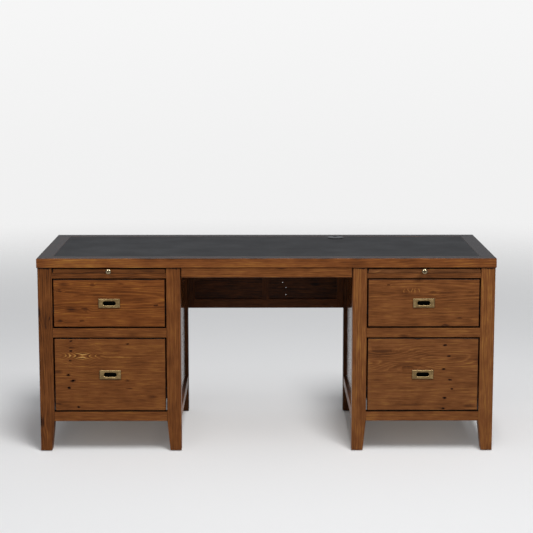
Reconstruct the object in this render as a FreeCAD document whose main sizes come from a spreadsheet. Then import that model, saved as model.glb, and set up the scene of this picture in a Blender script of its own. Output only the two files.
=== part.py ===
"""Two-pedestal writing desk in stained pine with a leather inset, flush brass pulls and pull-out trays.

Frame: millimetres, X to the right, Y to the rear, Z up, origin on the floor under the middle of the whole
desk, knobs included. The right-hand pedestal is modelled, and the left-hand one is its mirror image.
"""

import FreeCAD
import Part
import Sketcher
import math
import os
import re

# Driving dimensions in millimetres, one cell of the sheet each.
SIZES = {
    # Top
    "desk_height": 787,
    "top_width": 1829,
    "top_depth": 711,
    "top_thick": 38,
    "band_width": 60,
    "leather_thick": 2,
    "leather_drop": 0.5,
    "tongue_length": 10,
    "tongue_thick": 12,
    "front_overhang": 4,
    "back_overhang": 4,
    "side_overhang": 3,
    "edge_ease": 1.5,
    # Grommet
    "grommet_side": 303,
    "grommet_from_back": 97,
    "flange_diameter": 71,
    "flange_thick": 3,
    "sleeve_diameter": 60,
    "sleeve_length": 32,
    "seat_diameter": 56,
    "seat_depth": 4.5,
    "bore_diameter": 50,
    "grommet_clear": 0.3,
    "notch_width": 20,
    "notch_depth": 17,
    # Legs and glides
    "pedestal_width": 568,
    "leg_side": 57,
    "foot_side": 45,
    "foot_rise": 124,
    "glide_height": 3,
    "glide_diameter": 28,
    "fixing_clear": 0.2,
    # Rails and panels
    "rail_height": 38.5,
    "rail_thick": 32,
    "rail_setback": 1,
    "tray_rail_height": 20.5,
    "tenon_length": 25,
    "tenon_thick": 12,
    "tenon_shoulder": 3,
    "panel_setback": 12,
    "panel_thick": 10,
    "groove_depth": 8,
    "upper_opening": 201,
    # Apron and modesty panel
    "apron_height": 39,
    "apron_thick": 22,
    "apron_end_gap": 4,
    "apron_setback": 2,
    "modesty_thick": 22,
    "modesty_stile": 30,
    "modesty_panel_thick": 8,
    # Bolts
    "bolt_diameter": 5,
    "bolt_head_corners": 9.2,
    "bolt_head_height": 4,
    "bolt_bite": 22,
    "bolt_from_leg": 60,
    "bolt_from_face": 27.5,
    "modesty_bolt_spread": 190,
    # Writing trays
    "tray_thick": 18,
    "tray_rear_gap": 110,
    "tray_headroom": 3.7,
    "tray_clear": 0.3,
    "tray_side_clear": 1.5,
    "tray_travel": 330,
    "tray_stop_depth": 20,
    "tray_stop_height": 9,
    "tray_stop_gap": 4,
    "runner_width": 50,
    # Knobs
    "knob_diameter": 24,
    "knob_head_thick": 16,
    "knob_length": 26,
    "knob_neck_diameter": 10,
    "knob_base_diameter": 16,
    "knob_base_thick": 3,
    "stud_diameter": 6,
    "stud_length": 20,
    # Drawers
    "drawer_gap": 5,
    "drawer_front_thick": 20,
    "box_board": 13,
    "box_lift": 12,
    "box_headroom": 30,
    "box_rear_gap": 100,
    "bottom_thick": 6,
    "bottom_lift": 14,
    "bottom_groove": 6,
    # Drawer slides and the battens that carry them
    "slide_height": 45,
    "slide_thick": 12.7,
    "slide_gauge": 1.2,
    "slide_clear": 0.4,
    "slide_channel": 10,
    "slide_rise": 60,
    "slide_start": 4,
    "slide_tail": 6,
    "batten_height": 60,
    # Flush pulls
    "pull_width": 85.5,
    "pull_height": 36.5,
    "pull_plate": 3,
    "pull_bevel": 1.2,
    "cup_width": 58,
    "cup_height": 24,
    "cup_wall": 4.2,
    "cup_depth": 14,
    "cup_floor": 2,
    "cup_clear": 0.5,
    "lip_bevel": 2,
    # File rails
    "file_rail_inset": 42.3,
    "file_rail_thick": 3,
    "file_rail_height": 20,
    "file_rail_rest": 6,
    # Every cutter runs past the faces that it opens by this much
    "overrun": 5,
}

# Places worked out from the driving dimensions, each written once as a rule.
PLACES = {
    "knob_reach": "knob_length - rail_setback - front_overhang",
    "front_edge": "(knob_reach - top_depth) / 2",
    "back_edge": "front_edge + top_depth",
    "leg_front": "front_edge + front_overhang",
    "leg_back": "back_edge - back_overhang",
    "underside": "desk_height - top_thick",
    "core_top": "desk_height - leather_drop - leather_thick",
    "pedestal_outer": "top_width / 2 - side_overhang",
    "pedestal_inner": "pedestal_outer - pedestal_width",
    "pedestal_centre": "pedestal_outer - pedestal_width / 2",
    "opening_inner": "pedestal_inner + leg_side",
    "opening_outer": "pedestal_outer - leg_side",
    "behind_front_legs": "leg_front + leg_side",
    "before_rear_legs": "leg_back - leg_side",
    "front_face": "leg_front + rail_setback",
    "rail_rear": "front_face + rail_thick",
    "top_rail_low": "underside - rail_height",
    "tray_low": "underside - tray_headroom - tray_thick",
    "tray_rail_top": "tray_low - tray_clear",
    "tray_rail_low": "tray_rail_top - tray_rail_height",
    "mid_rail_top": "tray_rail_low - upper_opening",
    "mid_rail_low": "mid_rail_top - rail_height",
    "bottom_rail_top": "foot_rise + rail_height",
    "box_front": "front_face + drawer_front_thick",
    "box_rear": "leg_back - panel_setback - panel_thick - box_rear_gap",
    "box_length": "box_rear - box_front",
    "upper_box_height": "upper_opening - box_lift - box_headroom",
    "lower_box_height": "mid_rail_low - bottom_rail_top - box_lift - box_headroom",
    "slide_length": "box_length - slide_start - slide_tail",
    "tray_length": "leg_back - guide_line - tray_rear_gap - front_face",
    "box_inner": "opening_inner + slide_thick",
    "box_outer": "opening_outer - slide_thick",
    "grommet_y": "back_edge - grommet_from_back",
    "leather_top": "desk_height - leather_drop",
    "seat_level": "leather_top + flange_thick - seat_depth",
    "modesty_front": "leg_back - leg_side / 2 - modesty_thick / 2",
    "modesty_rear": "modesty_front + modesty_thick",
    "modesty_middle": "leg_back - leg_side / 2",
    "modesty_panel_front": "modesty_middle - modesty_panel_thick / 2",
    "modesty_panel_rear": "modesty_middle + modesty_panel_thick / 2",
    "guide_line": "rail_setback + rail_thick",
}

# Dovetails: how many tails a box side has at each end, and a tail's widths as shares of its pitch.
UPPER_TAILS = 4
LOWER_TAILS = 6
TAIL_ROOT_SHARE = 0.5
TAIL_TIP_SHARE = 0.66

# Turned head of a knob: its half width and the depth behind its crown, as shares of the head's size.
KNOB_HEAD_SHARES = ((0.5, 0), (0.87, 0.22), (1, 0.5), (0.87, 0.78))

# The mouth of a pull's cup ends within this share of the plate's half width.
CUP_REACH_SHARE = 0.8

# Faces closer than this count as level.
LEVEL_TOLERANCE = 1e-4

WORD = re.compile(r"[a-z_]+")
X_AXIS = FreeCAD.Vector(1, 0, 0)
Y_AXIS = FreeCAD.Vector(0, 1, 0)
TURNS = {
    "X": FreeCAD.Rotation(Y_AXIS, 90),
    "Y": FreeCAD.Rotation(X_AXIS, -90),
    "Z": FreeCAD.Rotation(),
}

doc = FreeCAD.newDocument("desk")
sheet = doc.addObject("Spreadsheet::Sheet", "Sizes")
nodes = []


def fill_sheet():
    """Write each driving dimension to its own aliased cell."""
    for row, (alias, value) in enumerate(SIZES.items(), start=1):
        sheet.set(f"A{row}", alias)
        sheet.set(f"B{row}", str(value))
        sheet.setAlias(f"B{row}", alias)
    doc.recompute()


def rule(text):
    """Expand a rule's place names and point its sizes at the sheet."""

    def swap(match):
        word = match.group()
        if word in PLACES:
            return "(" + rule(PLACES[word]) + ")"
        return "Sizes." + word if word in SIZES else word

    return WORD.sub(swap, text)


def bind(item, **rules):
    """Bind properties of an object to rules."""
    for name, text in rules.items():
        item.setExpression(name, rule(text))


def put(item, x, y, z):
    """Bind an object's place to three rules."""
    for axis, text in zip("xyz", (x, y, z)):
        item.setExpression(f"Placement.Base.{axis}", rule(text))


def box(label, x, y, z):
    """A board between the low and high rule of each axis."""
    item = doc.addObject("Part::Box", label)
    put(item, x[0], y[0], z[0])
    bind(
        item,
        Length=f"({x[1]}) - ({x[0]})",
        Width=f"({y[1]}) - ({y[0]})",
        Height=f"({z[1]}) - ({z[0]})",
    )
    return item


def rod(label, axis, low_end, length, diameter):
    """A round rod from the centre of its low end along X, Y or Z."""
    item = doc.addObject("Part::Cylinder", label)
    item.Placement.Rotation = TURNS[axis]
    put(item, *low_end)
    bind(item, Radius=f"({diameter}) / 2", Height=length)
    return item


def hexagon(label, axis, low_end, length, corners):
    """A hexagonal head from the centre of its low end along X, Y or Z, by its width over corners."""
    item = doc.addObject("Part::Prism", label)
    item.Polygon = 6
    item.Placement.Rotation = TURNS[axis]
    put(item, *low_end)
    bind(item, Circumradius=f"{corners} / 2", Height=length)
    return item


def fuse(label, items):
    """One solid from pieces that touch."""
    item = doc.addObject("Part::MultiFuse", label)
    item.Shapes = items
    item.Refine = True
    return item


def cut(label, base, tools):
    """The base with the tools' shapes taken out."""
    item = doc.addObject("Part::Cut", label)
    item.Base = base
    item.Tool = tools[0] if len(tools) == 1 else group(label + "_cutters", tools)
    item.Refine = True
    return item


def group(label, items):
    """Separate solids held together under one name."""
    item = doc.addObject("Part::Compound", label)
    item.Links = items
    return item


def mirrored(label, source, normal=X_AXIS, plane=None):
    """A mirror image in the desk's middle plane, or in a plane given by its place rule."""
    item = doc.addObject("Part::Mirroring", label)
    item.Source = source
    item.Normal = normal
    if plane:
        item.setExpression("Base.x" if normal == X_AXIS else "Base.y", rule(plane))
    return item


def node(label, item):
    """Name a finished sub-part and keep it for writing."""
    item.Label = label
    nodes.append(item)
    return item


def node_pair(label, item):
    """Keep a right-hand sub-part and its left-hand mirror image."""
    node(label.format(side="right"), item)
    left = label.format(side="left")
    return node(left, mirrored(left, item))


def new_body(label):
    """An empty body for sketched features."""
    return doc.addObject("PartDesign::Body", label)


def new_sketch(body, plane, height=None):
    """A sketch on one of the body's own origin planes, raised along its normal by a rule."""
    sketch = body.newObject("Sketcher::SketchObject", body.Name + "_sketch")
    base = next(item for item in body.Origin.OriginFeatures if item.Role == plane)
    sketch.AttachmentSupport = [(base, "")]
    sketch.MapMode = "FlatFace"
    if height:
        sketch.setExpression("AttachmentOffset.Base.z", rule(height))
    return sketch


def hold(sketch, kind, *where, start, size):
    """Add a named dimension to a sketch and bind it to a rule."""
    index = sketch.addConstraint(Sketcher.Constraint(kind, *where, start))
    name = f"dimension{index}"
    sketch.renameConstraint(index, name)
    sketch.setExpression("Constraints." + name, rule(size))


def polygon(body, plane, points, height=None):
    """A closed outline through points given as pairs of rules."""
    sketch = new_sketch(body, plane, height)
    count = len(points)
    turns = [2 * math.pi * index / count for index in range(count)]
    starts = [FreeCAD.Vector(math.cos(turn), math.sin(turn), 0) for turn in turns]
    for index, start in enumerate(starts):
        sketch.addGeometry(Part.LineSegment(start, starts[(index + 1) % count]), False)
    for index in range(count):
        sketch.addConstraint(Sketcher.Constraint("Coincident", index, 2, (index + 1) % count, 1))
    for index, (across, along) in enumerate(points):
        hold(sketch, "DistanceX", -1, 1, index, 1, start=starts[index].x, size=across)
        hold(sketch, "DistanceY", -1, 1, index, 1, start=starts[index].y, size=along)
    return sketch


def oval(body, plane, width, height):
    """A round-ended slot about the sketch's own origin."""
    sketch = new_sketch(body, plane)
    up = FreeCAD.Vector(0, 0, 1)
    for end in (1, -1):
        middle = FreeCAD.Vector(end, 0, 0)
        circle = Part.Circle(middle, up, 1)
        sweep = (-math.pi / 2, math.pi / 2) if end > 0 else (math.pi / 2, 3 * math.pi / 2)
        sketch.addGeometry(Part.ArcOfCircle(circle, *sweep), False)
    for level in (1, -1):
        left = FreeCAD.Vector(-1, level, 0)
        right = FreeCAD.Vector(1, level, 0)
        sketch.addGeometry(Part.LineSegment(left, right), False)
    for join in ((0, 2, 2, 2), (2, 1, 1, 1), (1, 2, 3, 1), (3, 2, 0, 1)):
        sketch.addConstraint(Sketcher.Constraint("Coincident", *join))
    straight = f"({width} - ({height})) / 2"
    radius = f"({height}) / 2"
    for line, level in ((2, 1), (3, -1)):
        for end, side in ((1, -1), (2, 1)):
            hold(sketch, "DistanceX", -1, 1, line, end, start=side, size=f"{side} * {straight}")
            hold(sketch, "DistanceY", -1, 1, line, end, start=level, size=f"{level} * {radius}")
    for arc, side in ((0, 1), (1, -1)):
        hold(sketch, "DistanceX", -1, 1, arc, 3, start=side, size=f"{side} * {straight}")
    return sketch


def pad(body, sketch, length, reverse=False):
    """Extrude a sketch along its normal."""
    feature = body.newObject("PartDesign::Pad", body.Name + "_pad")
    feature.Profile = sketch
    feature.Reversed = reverse
    bind(feature, Length=length)
    doc.recompute()
    return feature


def pocket(body, sketch, length, reverse=False):
    """Cut a sketch into the body and make sure that it takes material away."""
    before = body.Shape.Volume
    feature = body.newObject("PartDesign::Pocket", body.Name + "_pocket")
    feature.Profile = sketch
    feature.Reversed = reverse
    bind(feature, Length=length)
    doc.recompute()
    if body.Shape.Volume >= before:
        raise ValueError(body.Label + ": a pocket cuts nothing")
    return feature


def edges_on(body, **levels):
    """Names of the body's edges that lie wholly at the given X, Y or Z levels of its own frame."""
    found = []
    shape = body.Tip.Shape
    for index, edge in enumerate(shape.Edges, start=1):
        bounds = edge.BoundBox
        flat = True
        for axis, level in levels.items():
            low = getattr(bounds, axis + "Min")
            high = getattr(bounds, axis + "Max")
            flat = flat and max(abs(low - level), abs(high - level)) < LEVEL_TOLERANCE
        if flat:
            found.append(f"Edge{index}")
    return found


def soften(body, size, edges):
    """Chamfer the named edges of the body's last feature."""
    base = body.Tip
    feature = body.newObject("PartDesign::Chamfer", body.Name + "_chamfer")
    feature.Base = (base, edges)
    bind(feature, Size=size)
    doc.recompute()
    return feature


def eased_board(label, x, z, front, thick):
    """An upright board, its front edges eased, with its front face at a rule."""
    body = new_body(label)
    corners = [(x[0], z[0]), (x[1], z[0]), (x[1], z[1]), (x[0], z[1])]
    pad(body, polygon(body, "XZ_Plane", corners), thick, reverse=True)
    soften(body, "edge_ease", edges_on(body, Y=0))
    put(body, "0", front, "0")
    return body


# Top: core board, mitred frame, leather inset, cord grommet


def make_bolts():
    """Bolts of the right-hand pedestal and the bores that they need, as two groups."""
    bolts = []
    bores = []
    rail_faces = ("pedestal_outer - bolt_from_face", "pedestal_inner + bolt_from_face")
    ends = ("behind_front_legs + bolt_from_leg", "before_rear_legs - bolt_from_leg")
    for x in rail_faces:
        for y in ends:
            name = f"top_bolt_{len(bolts)}"
            head_low = (x, y, "top_rail_low - bolt_head_height")
            shank_low = (x, y, "top_rail_low")
            head = hexagon(name + "_head", "Z", head_low, "bolt_head_height", "bolt_head_corners")
            shank = rod(name + "_shank", "Z", shank_low, "rail_height + bolt_bite", "bolt_diameter")
            bolts.append(fuse(name, [head, shank]))
            bore_low = (x, y, "top_rail_low - overrun")
            bore_length = "rail_height + bolt_bite + overrun + fixing_clear"
            bores.append(rod(name + "_bore", "Z", bore_low, bore_length, "bolt_diameter + 2 * fixing_clear"))
    low_bolt = "mid_rail_low + rail_height / 2"
    for z in (low_bolt, low_bolt + " + modesty_bolt_spread"):
        name = f"modesty_bolt_{len(bolts)}"
        tip = "pedestal_inner - bolt_bite"
        shank_length = "bolt_bite + leg_side"
        shank = rod(name + "_shank", "X", (tip, "modesty_middle", z), shank_length, "bolt_diameter")
        head_low = ("opening_inner", "modesty_middle", z)
        head = hexagon(name + "_head", "X", head_low, "bolt_head_height", "bolt_head_corners")
        bolts.append(fuse(name, [head, shank]))
        bore_low = (tip + " - fixing_clear", "modesty_middle", z)
        bore_length = shank_length + " + fixing_clear + overrun"
        bores.append(rod(name + "_bore", "X", bore_low, bore_length, "bolt_diameter + 2 * fixing_clear"))
    right = group("right_bolts", bolts)
    bore_group = group("right_bolt_bores", bores)
    node("assembly_bolts", group("assembly_bolts", [right, mirrored("left_bolts", right)]))
    return [bore_group, mirrored("left_bolt_bores", bore_group)]


def make_top(bores):
    """Core board tongued into a mitred frame, with the leather let in flush."""
    half_core = "top_width / 2 - band_width"
    core_x = (f"-({half_core})", half_core)
    core_y = ("front_edge + band_width", "back_edge - band_width")
    board = box("core_board", core_x, core_y, ("underside", "core_top"))
    tongue = box(
        "core_tongue",
        (f"-({half_core}) - tongue_length", f"{half_core} + tongue_length"),
        ("front_edge + band_width - tongue_length", "back_edge - band_width + tongue_length"),
        ("underside + (top_thick - tongue_thick) / 2", "underside + (top_thick + tongue_thick) / 2"),
    )
    core = fuse("tongued_core", [board, tongue])
    hole = rod(
        "grommet_hole",
        "Z",
        ("grommet_side", "grommet_y", "underside - overrun"),
        "top_thick + 2 * overrun",
        "sleeve_diameter + 2 * grommet_clear",
    )
    node("top_core", cut("top_core", core, [hole] + bores))
    inset = box("leather_sheet", core_x, core_y, ("core_top", "leather_top"))
    node("leather_inset", cut("leather_inset", inset, [hole]))
    half_top = "top_width / 2"
    corners = {
        "outer": {"left": f"-({half_top})", "right": half_top, "front": "front_edge", "back": "back_edge"},
        "inner": {"left": core_x[0], "right": core_x[1], "front": core_y[0], "back": core_y[1]},
    }
    sides = (
        ("front", "left", "right"),
        ("right", "front", "back"),
        ("back", "right", "left"),
        ("left", "back", "front"),
    )
    for side, first, second in sides:
        points = []
        for edge, corner in (("outer", first), ("outer", second), ("inner", second), ("inner", first)):
            places = corners[edge]
            lengthwise = side in ("front", "back")
            points.append((places[corner], places[side]) if lengthwise else (places[side], places[corner]))
        body = new_body(f"top_band_{side}")
        pad(body, polygon(body, "XY_Plane", points), "top_thick")
        bounds = body.Shape.BoundBox
        level = {"front": bounds.YMin, "back": bounds.YMax, "left": bounds.XMin, "right": bounds.XMax}[side]
        axis = "Y" if side in ("front", "back") else "X"
        long_edges = []
        for height in (0, bounds.ZMax):
            long_edges += edges_on(body, Z=height, **{axis: level})
        soften(body, "edge_ease", long_edges)
        put(body, "0", "0", "underside")
        label = f"top_frame_{side}"
        node(label, cut(label, body, [core] + bores))


def make_grommet():
    """Flanged liner with a seat for the turning cap, which has a notch for cords."""
    body = new_body("liner")
    low = "-(sleeve_length)"
    points = [
        ("bore_diameter / 2", low),
        ("sleeve_diameter / 2", low),
        ("sleeve_diameter / 2", "0"),
        ("flange_diameter / 2", "0"),
        ("flange_diameter / 2", "flange_thick / 2"),
        ("flange_diameter / 2 - flange_thick / 2", "flange_thick"),
        ("seat_diameter / 2", "flange_thick"),
        ("seat_diameter / 2", "flange_thick - seat_depth"),
        ("bore_diameter / 2", "flange_thick - seat_depth"),
    ]
    profile = polygon(body, "XZ_Plane", points)
    ring = body.newObject("PartDesign::Revolution", "liner_revolution")
    ring.Profile = profile
    ring.ReferenceAxis = (profile, ["V_Axis"])
    put(body, "grommet_side", "grommet_y", "leather_top")
    node("grommet_liner", body)
    cap_radius = "seat_diameter / 2 - grommet_clear"
    cap_low = ("grommet_side", "grommet_y", "seat_level + grommet_clear")
    cap_thick = "seat_depth - grommet_clear"
    disc = rod("cap_disc", "Z", cap_low, cap_thick, f"2 * ({cap_radius})")
    notch_middle = f"grommet_y + {cap_radius} - notch_depth + notch_width / 2"
    notch_low = "seat_level - overrun"
    round_end = rod(
        "notch_end",
        "Z",
        ("grommet_side", notch_middle, notch_low),
        "seat_depth + 2 * overrun",
        "notch_width",
    )
    mouth = box(
        "notch_mouth",
        ("grommet_side - notch_width / 2", "grommet_side + notch_width / 2"),
        (notch_middle, f"grommet_y + {cap_radius} + overrun"),
        (notch_low, "seat_level + seat_depth + overrun"),
    )
    node("grommet_cap", cut("grommet_cap", disc, [fuse("cap_notch", [round_end, mouth])]))


# Pedestals: legs, tenoned rails, panels in grooves


def tenoned_rail(label, axis, along, across, z):
    """A rail between two shoulders along X or Y, with a tenon at each end."""
    middle = f"(({across[0]}) + ({across[1]})) / 2"
    cheeks = (f"{middle} - tenon_thick / 2", f"{middle} + tenon_thick / 2")
    reach = (f"{along[0]} - tenon_length", f"{along[1]} + tenon_length")
    heights = (f"{z[0]} + tenon_shoulder", f"{z[1]} - tenon_shoulder")
    if axis == "X":
        board = box(label + "_board", along, across, z)
        tenons = box(label + "_tenons", reach, cheeks, heights)
    else:
        board = box(label + "_board", across, along, z)
        tenons = box(label + "_tenons", cheeks, reach, heights)
    return fuse(label, [board, tenons])


def eased_square(side):
    """Outline of a leg's section from its outer corner, with all four edges eased."""
    low = "edge_ease"
    high = f"{side} - edge_ease"
    return [
        (low, "0"),
        (high, "0"),
        (side, low),
        (side, high),
        (high, side),
        (low, side),
        ("0", high),
        ("0", low),
    ]


def make_leg_blank():
    """A square post whose two inward faces taper below the bottom rail."""
    body = new_body("leg_blank")
    foot = polygon(body, "XY_Plane", eased_square("foot_side"))
    knee = polygon(body, "XY_Plane", eased_square("leg_side"), "foot_rise - glide_height")
    head = polygon(body, "XY_Plane", eased_square("leg_side"), "underside - glide_height")
    loft = body.newObject("PartDesign::AdditiveLoft", "leg_loft")
    loft.Profile = foot
    loft.Sections = [knee, head]
    loft.Ruled = True
    put(body, "pedestal_inner", "leg_front", "glide_height")
    return body


def make_rails():
    """Rails of the right-hand pedestal by the side that they close."""
    front_y = ("front_face", "rail_rear")
    back_y = ("leg_back - rail_setback - rail_thick", "leg_back - rail_setback")
    between_x = ("opening_inner", "opening_outer")
    between_y = ("behind_front_legs", "before_rear_legs")
    inner_x = ("pedestal_inner + rail_setback", "pedestal_inner + guide_line")
    outer_x = ("pedestal_outer - guide_line", "pedestal_outer - rail_setback")
    low_z = ("foot_rise", "bottom_rail_top")
    top_z = ("top_rail_low", "underside")
    front = [
        tenoned_rail("tray_rail", "X", between_x, front_y, ("tray_rail_low", "tray_rail_top")),
        tenoned_rail("middle_rail", "X", between_x, front_y, ("mid_rail_low", "mid_rail_top")),
        tenoned_rail("bottom_rail", "X", between_x, front_y, low_z),
    ]
    rails = {"front": front}
    for side, axis, along, across in (
        ("inner", "Y", between_y, inner_x),
        ("outer", "Y", between_y, outer_x),
        ("back", "X", between_x, back_y),
    ):
        rails[side] = [
            tenoned_rail(f"{side}_low_rail", axis, along, across, low_z),
            tenoned_rail(f"{side}_top_rail", axis, along, across, top_z),
        ]
    return rails


def make_panels():
    """Panels of the right-hand pedestal, long enough to fill the grooves round them."""
    z = ("bottom_rail_top - groove_depth", "top_rail_low + groove_depth")
    between_y = ("behind_front_legs - groove_depth", "before_rear_legs + groove_depth")
    between_x = ("opening_inner - groove_depth", "opening_outer + groove_depth")
    depth = "panel_setback + panel_thick"
    inner_x = ("pedestal_inner + panel_setback", f"pedestal_inner + {depth}")
    outer_x = (f"pedestal_outer - ({depth})", "pedestal_outer - panel_setback")
    back_y = (f"leg_back - ({depth})", "leg_back - panel_setback")
    return {
        "inner": box("inner_panel", inner_x, between_y, z),
        "outer": box("outer_panel", outer_x, between_y, z),
        "back": box("back_panel", between_x, back_y, z),
    }


def make_pedestals(bores):
    """Legs, rails, panels and glides of both pedestals."""
    rails = make_rails()
    panels = make_panels()
    middle_y = "(leg_front + leg_back) / 2"
    inner = make_leg_blank()
    outer = mirrored("outer_blank", inner, plane="pedestal_centre")
    blanks = {
        ("front", "inner"): inner,
        ("front", "outer"): outer,
        ("rear", "inner"): mirrored("rear_inner_blank", inner, Y_AXIS, middle_y),
        ("rear", "outer"): mirrored("rear_outer_blank", outer, Y_AXIS, middle_y),
    }
    foot_x = {"inner": "pedestal_inner + foot_side / 2", "outer": "pedestal_outer - foot_side / 2"}
    foot_y = {"front": "leg_front + foot_side / 2", "rear": "leg_back - foot_side / 2"}
    glides = []
    for (end, side), blank in blanks.items():
        foot = (foot_x[side], foot_y[end], "0")
        glides.append(rod(f"glide_{end}_{side}", "Z", foot, "glide_height", "glide_diameter"))
        joined = rails[side] + [panels[side]]
        joined += rails["front"] if end == "front" else rails["back"] + [panels["back"]]
        name = f"leg_{end}_{side}"
        leg = cut(name, blank, joined + bores[:1])
        node_pair("{side}_" + name, leg)
    right_glides = group("right_glides", glides)
    node("leg_glides", group("leg_glides", [right_glides, mirrored("left_glides", right_glides)]))
    node_pair("{side}_front_rails", group("front_rails", rails["front"]))
    framed = []
    for side in ("inner", "outer", "back"):
        for rail in rails[side]:
            framed.append(cut(rail.Name + "_grooved", rail, [panels[side]] + bores[:1]))
        node_pair("{side}_" + side + "_panel", panels[side])
    node_pair("{side}_panel_rails", group("panel_rails", framed))


# Kneehole: apron and modesty panel


def make_kneehole(bores):
    """The apron under the top's front edge and the framed panel at the rear."""
    half_apron = "pedestal_inner - apron_end_gap"
    apron = eased_board(
        "apron_board",
        (f"-({half_apron})", half_apron),
        ("underside - apron_height", "underside"),
        "front_edge + apron_setback",
        "apron_thick",
    )
    node("center_apron", apron)
    y = ("modesty_front", "modesty_rear")
    panel_y = ("modesty_panel_front", "modesty_panel_rear")
    left = "-(pedestal_inner)"
    inner_left = f"{left} + modesty_stile"
    inner_right = "pedestal_inner - modesty_stile"
    heights = ("mid_rail_low", "underside")
    panel_z = ("mid_rail_top - groove_depth", "top_rail_low + groove_depth")
    stub_x = (f"{inner_left} - groove_depth", f"{inner_right} + groove_depth")
    panels = [
        box("modesty_left", (stub_x[0], "groove_depth - modesty_stile / 2"), panel_y, panel_z),
        box("modesty_right", ("modesty_stile / 2 - groove_depth", stub_x[1]), panel_y, panel_z),
    ]
    rails = []
    for name, z in (("low", ("mid_rail_low", "mid_rail_top")), ("top", ("top_rail_low", "underside"))):
        board = box(f"modesty_{name}_board", (inner_left, inner_right), y, z)
        stub_z = (f"{z[0]} + tenon_shoulder", f"{z[1]} - tenon_shoulder")
        stubs = box(f"modesty_{name}_stubs", stub_x, panel_y, stub_z)
        rails.append(fuse(f"modesty_{name}_rail", [board, stubs]))
    middle_x = ("-(modesty_stile) / 2", "modesty_stile / 2")
    middle = fuse(
        "modesty_middle_stile",
        [
            box("modesty_middle_board", middle_x, y, ("mid_rail_top", "top_rail_low")),
            box("modesty_middle_stubs", middle_x, panel_y, panel_z),
        ],
    )
    frame = [cut("modesty_middle", middle, panels)]
    for rail in rails:
        frame.append(cut(rail.Name + "_grooved", rail, panels + [middle] + bores))
    for name, x in (("left", (left, inner_left)), ("right", (inner_right, "pedestal_inner"))):
        stile = box(f"modesty_{name}_stile", x, y, heights)
        frame.append(cut(f"modesty_{name}_grooved", stile, panels + rails + bores))
    node("modesty_frame", group("modesty_frame", frame))
    node("modesty_panels", group("modesty_panels", panels))


# Writing trays and their runners


def make_knob():
    """A knob turned with its neck, collar and stud, and the bore for the stud in the tray's edge."""
    body = new_body("knob")
    crown = "-(knob_length)"
    points = [("0", crown)]
    for across, behind in KNOB_HEAD_SHARES:
        points.append((f"knob_diameter / 2 * {across}", f"{crown} + knob_head_thick * {behind}"))
    points += [
        ("knob_neck_diameter / 2", f"{crown} + knob_head_thick"),
        ("knob_neck_diameter / 2", "-(knob_base_thick)"),
        ("knob_base_diameter / 2", "0"),
        ("stud_diameter / 2", "0"),
        ("stud_diameter / 2", "stud_length"),
        ("0", "stud_length"),
    ]
    profile = polygon(body, "XY_Plane", points)
    turned = body.newObject("PartDesign::Revolution", "knob_revolution")
    turned.Profile = profile
    turned.ReferenceAxis = (profile, ["V_Axis"])
    z = "tray_low + tray_thick / 2"
    put(body, "pedestal_centre", "front_face", z)
    bore_low = ("pedestal_centre", "front_face - overrun", z)
    bore_length = "stud_length + overrun + fixing_clear"
    bore = rod("knob_bore", "Y", bore_low, bore_length, "stud_diameter + 2 * fixing_clear")
    return body, bore


def make_trays():
    """A board that slides out over the upper drawer, its stop, knob, runners and guides."""
    knob, bore = make_knob()
    node_pair("{side}_tray_knob", knob)
    board = eased_board(
        "tray_board",
        ("opening_inner + tray_side_clear", "opening_outer - tray_side_clear"),
        ("tray_low", "tray_low + tray_thick"),
        "front_face",
        "tray_length",
    )
    runner_reach = "guide_line + runner_width"
    stop_reach = f"({runner_reach} + tray_stop_gap)"
    stop_front = "rail_rear + tray_travel + tray_clear"
    stop = box(
        "tray_stop",
        (f"pedestal_inner + {stop_reach}", f"pedestal_outer - {stop_reach}"),
        (stop_front, stop_front + " + tray_stop_depth"),
        ("tray_low - tray_stop_height", "tray_low"),
    )
    node_pair("{side}_tray", group("tray", [cut("bored_tray", board, [bore]), stop]))
    y = ("behind_front_legs", "before_rear_legs")
    runner = box(
        "tray_runner",
        ("pedestal_inner + guide_line", f"pedestal_inner + {runner_reach}"),
        y,
        ("tray_rail_low", "tray_rail_top"),
    )
    guide_x = ("pedestal_inner + guide_line", "opening_inner")
    guide = box("tray_guide", guide_x, y, ("tray_rail_top", "underside"))
    pair = group("inner_runner", [runner, guide])
    both = group("right_runners", [pair, mirrored("outer_runner", pair, plane="pedestal_centre")])
    node("tray_runners", group("tray_runners", [both, mirrored("left_runners", both)]))


# Drawers: fronts, dovetailed boxes, pulls, slides, file rails


def make_pull(label, z):
    """A flush pull: bevelled plate and an oval finger cup with a bevelled lip."""
    body = new_body(label)
    half_width = "pull_width / 2"
    half_height = "pull_height / 2"
    corners = [
        (f"-({half_width})", f"-({half_height})"),
        (half_width, f"-({half_height})"),
        (half_width, half_height),
        (f"-({half_width})", half_height),
    ]
    plate = polygon(body, "XZ_Plane", corners)
    pad(body, plate, "pull_plate")
    plate_front = body.Shape.BoundBox.YMin
    soften(body, "pull_bevel", edges_on(body, Y=plate_front))
    pad(body, oval(body, "XZ_Plane", "cup_width", "cup_height"), "cup_depth", reverse=True)
    mouth = oval(body, "XZ_Plane", "(cup_width - 2 * cup_wall)", "cup_height - 2 * cup_wall")
    bind(mouth, **{"AttachmentOffset.Base.z": "pull_plate"})
    pocket(body, mouth, "pull_plate + cup_depth - cup_floor")
    rim = [name for name in edges_on(body, Y=plate_front) if touches_rim(body, name)]
    soften(body, "lip_bevel", rim)
    put(body, "pedestal_centre", "front_face", z)
    return body


def touches_rim(body, name):
    """Tell whether an edge belongs to the cup's mouth and not to the plate's outline."""
    bounds = body.Tip.Shape.getElement(name).BoundBox
    reach = max(abs(bounds.XMin), abs(bounds.XMax))
    return reach < body.Tip.Shape.BoundBox.XMax * CUP_REACH_SHARE


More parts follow.
